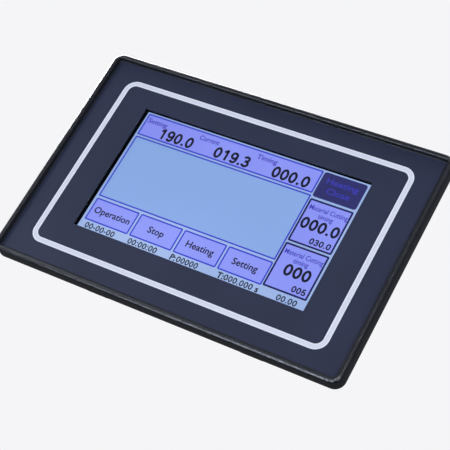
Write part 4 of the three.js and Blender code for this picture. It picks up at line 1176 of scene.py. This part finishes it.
def make_board():
    dressed("circuit_board", "main_board", "board", "circuit_board", 0.08, 1)
    back = node_box("main_board")[1][1]
    for name, edge in (("processor_chip", 0.15), ("memory_chip", 0.12)):
        low, high = node_box(name)
        body = bmesh.new()
        bar(body, low, high, edge)
        dot = bmesh.new()
        lathe(dot, [(0, high[1] - 0.02), (0.6, high[1] - 0.02), (0.6, high[1] + 0.01), (0, high[1] + 0.01)],
              (low[0] + 1.8, high[2] - 1.8), 20)
        pitch = 1.0
        count = int((high[0] - low[0] - 2) / pitch) + 1
        tall = int((high[2] - low[2] - 2) / pitch) + 1
        rows = []
        for side in (-1, 1):
            z = (high[2] + 0.55) if side > 0 else (low[2] - 0.55)
            rows.append(grown(ROW, {
                "Material": MATERIALS["nickel"], "Count": count,
                "Start": Vector((low[0] + 1, back + 0.12, z)) * MM,
                "Step": Vector((pitch, 0, 0)) * MM, "Size": Vector((0.42, 0.2, 1.2)) * MM}))
            x = (high[0] + 0.55) if side > 0 else (low[0] - 0.55)
            rows.append(grown(ROW, {
                "Material": MATERIALS["nickel"], "Count": tall,
                "Start": Vector((x, back + 0.12, low[2] + 1)) * MM,
                "Step": Vector((0, 0, pitch)) * MM, "Size": Vector((1.2, 0.2, 0.42)) * MM}))
        finished(name + "_case", joined([to_mesh(body), to_mesh(dot)] + rows, 30),
                 ("chip", "label") + ("nickel",) * 4, stands_for=(name,))
    area = bmesh.new()
    corners = [area.verts.new(Vector(p) * MM) for p in (
        (-14, back + 0.25, -14), (40, back + 0.25, -14), (40, back + 0.25, 0), (-14, back + 0.25, 0))]
    area.faces.new(corners)
    ground = bpy.data.meshes.new("area")
    area.to_mesh(ground)
    area.free()
    strewn = grown(SCATTER, {"Material": MATERIALS["chip"], "Gap": 3.2 * MM, "Seed": 11,
                             "Size": Vector((1.6, 0.5, 0.8)) * MM}, ground)
    finished("board_small_parts", strewn, "chip")


def make_tall_parts():
    low, high = node_box("power_capacitor")
    centre = middle_of(low, high)
    shape = bmesh.new()
    radius = (high[0] - low[0]) / 2
    lathe(shape, [(0, low[1]), (radius - 0.3, low[1]), (radius, low[1] + 0.3), (radius, low[1] + 1.6),
                  (radius - 0.35, low[1] + 2.0), (radius, low[1] + 2.4), (radius, high[1] - 0.4),
                  (radius - 0.4, high[1]), (radius - 0.9, high[1] - 0.08)], centre, 40)
    top = bmesh.new()
    lathe(top, [(0, high[1] - 0.35), (radius - 0.9, high[1] - 0.35), (radius - 0.9, high[1] - 0.1),
                (0, high[1] - 0.1)], centre, 40)
    bmesh.ops.holes_fill(shape, edges=shape.edges)
    finished("smoothing_capacitor", joined([to_mesh(shape), to_mesh(top)], 30), ("sleeve", "nickel"),
             stands_for=("power_capacitor",))
    dressed("choke_core", "power_inductor", "chip", "chip_epoxy", 0.5, 3)
    low, high = node_box("buzzer")
    centre = middle_of(low, high)
    radius = (high[0] - low[0]) / 2
    shape = bmesh.new()
    lathe(shape, [(0, low[1]), (radius - 0.2, low[1]), (radius, low[1] + 0.2), (radius, high[1] - 0.7),
                  (radius - 0.25, high[1] - 0.25), (radius - 0.7, high[1]), (1.3, high[1]), (1.0, high[1] - 0.3),
                  (1.0, high[1] - 2.0), (0, high[1] - 2.0)], centre, 40)
    finished("sounder", smooth(to_mesh(shape), 30), "socket", stands_for=("buzzer",))
    dressed("cell_clip", "coin_cell_holder", "socket", "port_plastic", 0.25, 2)
    low, high = node_box("coin_cell")
    centre = middle_of(low, high)
    radius = (high[0] - low[0]) / 2
    shape = bmesh.new()
    lathe(shape, [(0, low[1]), (radius - 1.4, low[1]), (radius - 1.0, low[1] + 0.3), (radius - 0.5, low[1] + 0.45),
                  (radius - 0.1, low[1] + 0.7), (radius, low[1] + 1.0), (radius, high[1] - 0.35),
                  (radius - 0.35, high[1]), (0, high[1])], centre, 48)
    finished("clock_cell", smooth(to_mesh(shape), 30), "nickel", stands_for=("coin_cell",))
    for name in ("lcd_flex_socket", "touch_flex_socket"):
        finished(name + "_body", softened(name, 0.2, 2), "nylon", stands_for=(name,))


def make_display():
    dressed("display_tray", "lcd_backlight_frame", "zinc", "zinc_steel", 0.15, 2)
    dressed("display_bridge", "lcd_retainer", "zinc", "zinc_steel", 0.12, 2)
    for name, new in (("lcd_flex_cable", "display_tail"), ("touch_flex_tail", "touch_tail")):
        finished(new, smooth(to_mesh(plain_copy(name)), 50), "flex", stands_for=(name,))


make_board()
make_tall_parts()
make_display()

# ---------------------------------------------------------------------------- plain finishes of CAD

FINISHES = {
    "touch_seal": "foam", "touch_panel": "glass", "lcd_glass": "lcd_dark", "lcd_backlight_frame": "zinc",
    "lcd_retainer": "zinc", "touch_flex_tail": "flex", "lcd_flex_cable": "flex", "panel_gasket": "gasket",
    "rear_housing": "case", "rating_label": "label", "main_board": "board", "processor_chip": "chip",
    "memory_chip": "chip", "power_inductor": "chip", "power_capacitor": "sleeve", "coin_cell_holder": "socket",
    "coin_cell": "nickel", "buzzer": "socket", "lcd_flex_socket": "nylon", "touch_flex_socket": "nylon",
    "com_port_shell": "nickel", "com_port_insulator": "socket", "com_jack_screw": "nickel",
    "usb_port_shell": "nickel", "usb_port_tongue": "socket", "power_terminal_block": "terminal",
    "terminal_screw": "nickel", "terminal_cage": "zinc", "dip_switch_body": "switch", "dip_slider": "nylon",
    "reset_switch_body": "nickel", "reset_button": "socket", "clamp_bracket": "black_steel",
    "clamp_foot": "nylon", "clamp_screw": "zinc", "housing_screw": "black_steel", "board_screw": "nickel",
    "front_bezel": "bezel", "overlay_film": "film",
}
for node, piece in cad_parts.items():
    kind = node if node in FINISHES else node.rsplit("_", 1)[0]
    piece.data.materials.clear()
    piece.data.materials.append(MATERIALS[FINISHES[kind]])

# --------------------------------------------------------------------------------- floor and lights


def make_stage():
    shape = bmesh.new()
    bar(shape, (-9000, -9000, -260), (9000, 9000, -250))
    floor = scratch(to_mesh(shape, "floor"))
    floor.name = "floor"
    material, tree = blank_material("pale_painted_floor")
    finish_material(tree, {"Base Color": tinted(tree, noise(tree, 400.0), "6a6a6e", "707074"), "Roughness": 0.8,
                           "Emission Color": linear("f4f4f6"), "Emission Strength": 0.86})
    floor.data.materials.append(material)
    floor.visible_glossy = False
    floor.visible_diffuse = False


def soft_box(name, place, aim, size, power, colour="ffffff"):
    data = bpy.data.lights.new(name, "AREA")
    data.shape = "RECTANGLE"
    data.size, data.size_y = size
    data.energy = power
    data.color = linear(colour)[:3]
    lamp = bpy.data.objects.new(name, data)
    scene.collection.objects.link(lamp)
    lamp.location = place
    lamp.rotation_euler = (Vector(aim) - Vector(place)).to_track_quat("-Z", "Y").to_euler()


def make_air():
    """Pale surroundings that light the panel less than they look."""
    world = bpy.data.worlds.new("pale_studio")
    scene.world = world
    world.use_nodes = True
    tree = world.node_tree
    tree.nodes.clear()
    seen = add(tree, "ShaderNodeLightPath").outputs["Is Camera Ray"]
    pale = add(tree, "ShaderNodeBackground", {"Color": linear("f5f5f7"), "Strength": 1.0})
    dim = add(tree, "ShaderNodeBackground", {"Color": linear("dfe3ee"), "Strength": 0.16})
    mixed = add(tree, "ShaderNodeMixShader", {0: seen, 1: dim.outputs[0], 2: pale.outputs[0]})
    add(tree, "ShaderNodeOutputWorld", {"Surface": mixed.outputs[0]})


make_stage()
make_air()
soft_box("front_light", (0.75, -1.25, -0.35), (0, 0, 0), (0.8, 0.6), 32.0, "f2f5ff")
soft_box("side_light", (-0.80, -0.75, -0.10), (0, 0, 0), (0.5, 0.4), 4.5, "f2f5ff")
soft_box("edge_light", (-0.20, -0.70, -1.40), (0, 0, 0), (0.9, 0.45), 56.0, "e2ebff")
soft_box("top_light", (0.3, -0.25, 0.90), (0, 0, 0), (0.8, 0.5), 4.0, "f4f8ff")
soft_box("back_light", (-1.4, 1.1, 1.2), (0, 0, 0), (1.2, 0.9), 140.0, "f8f9ff")
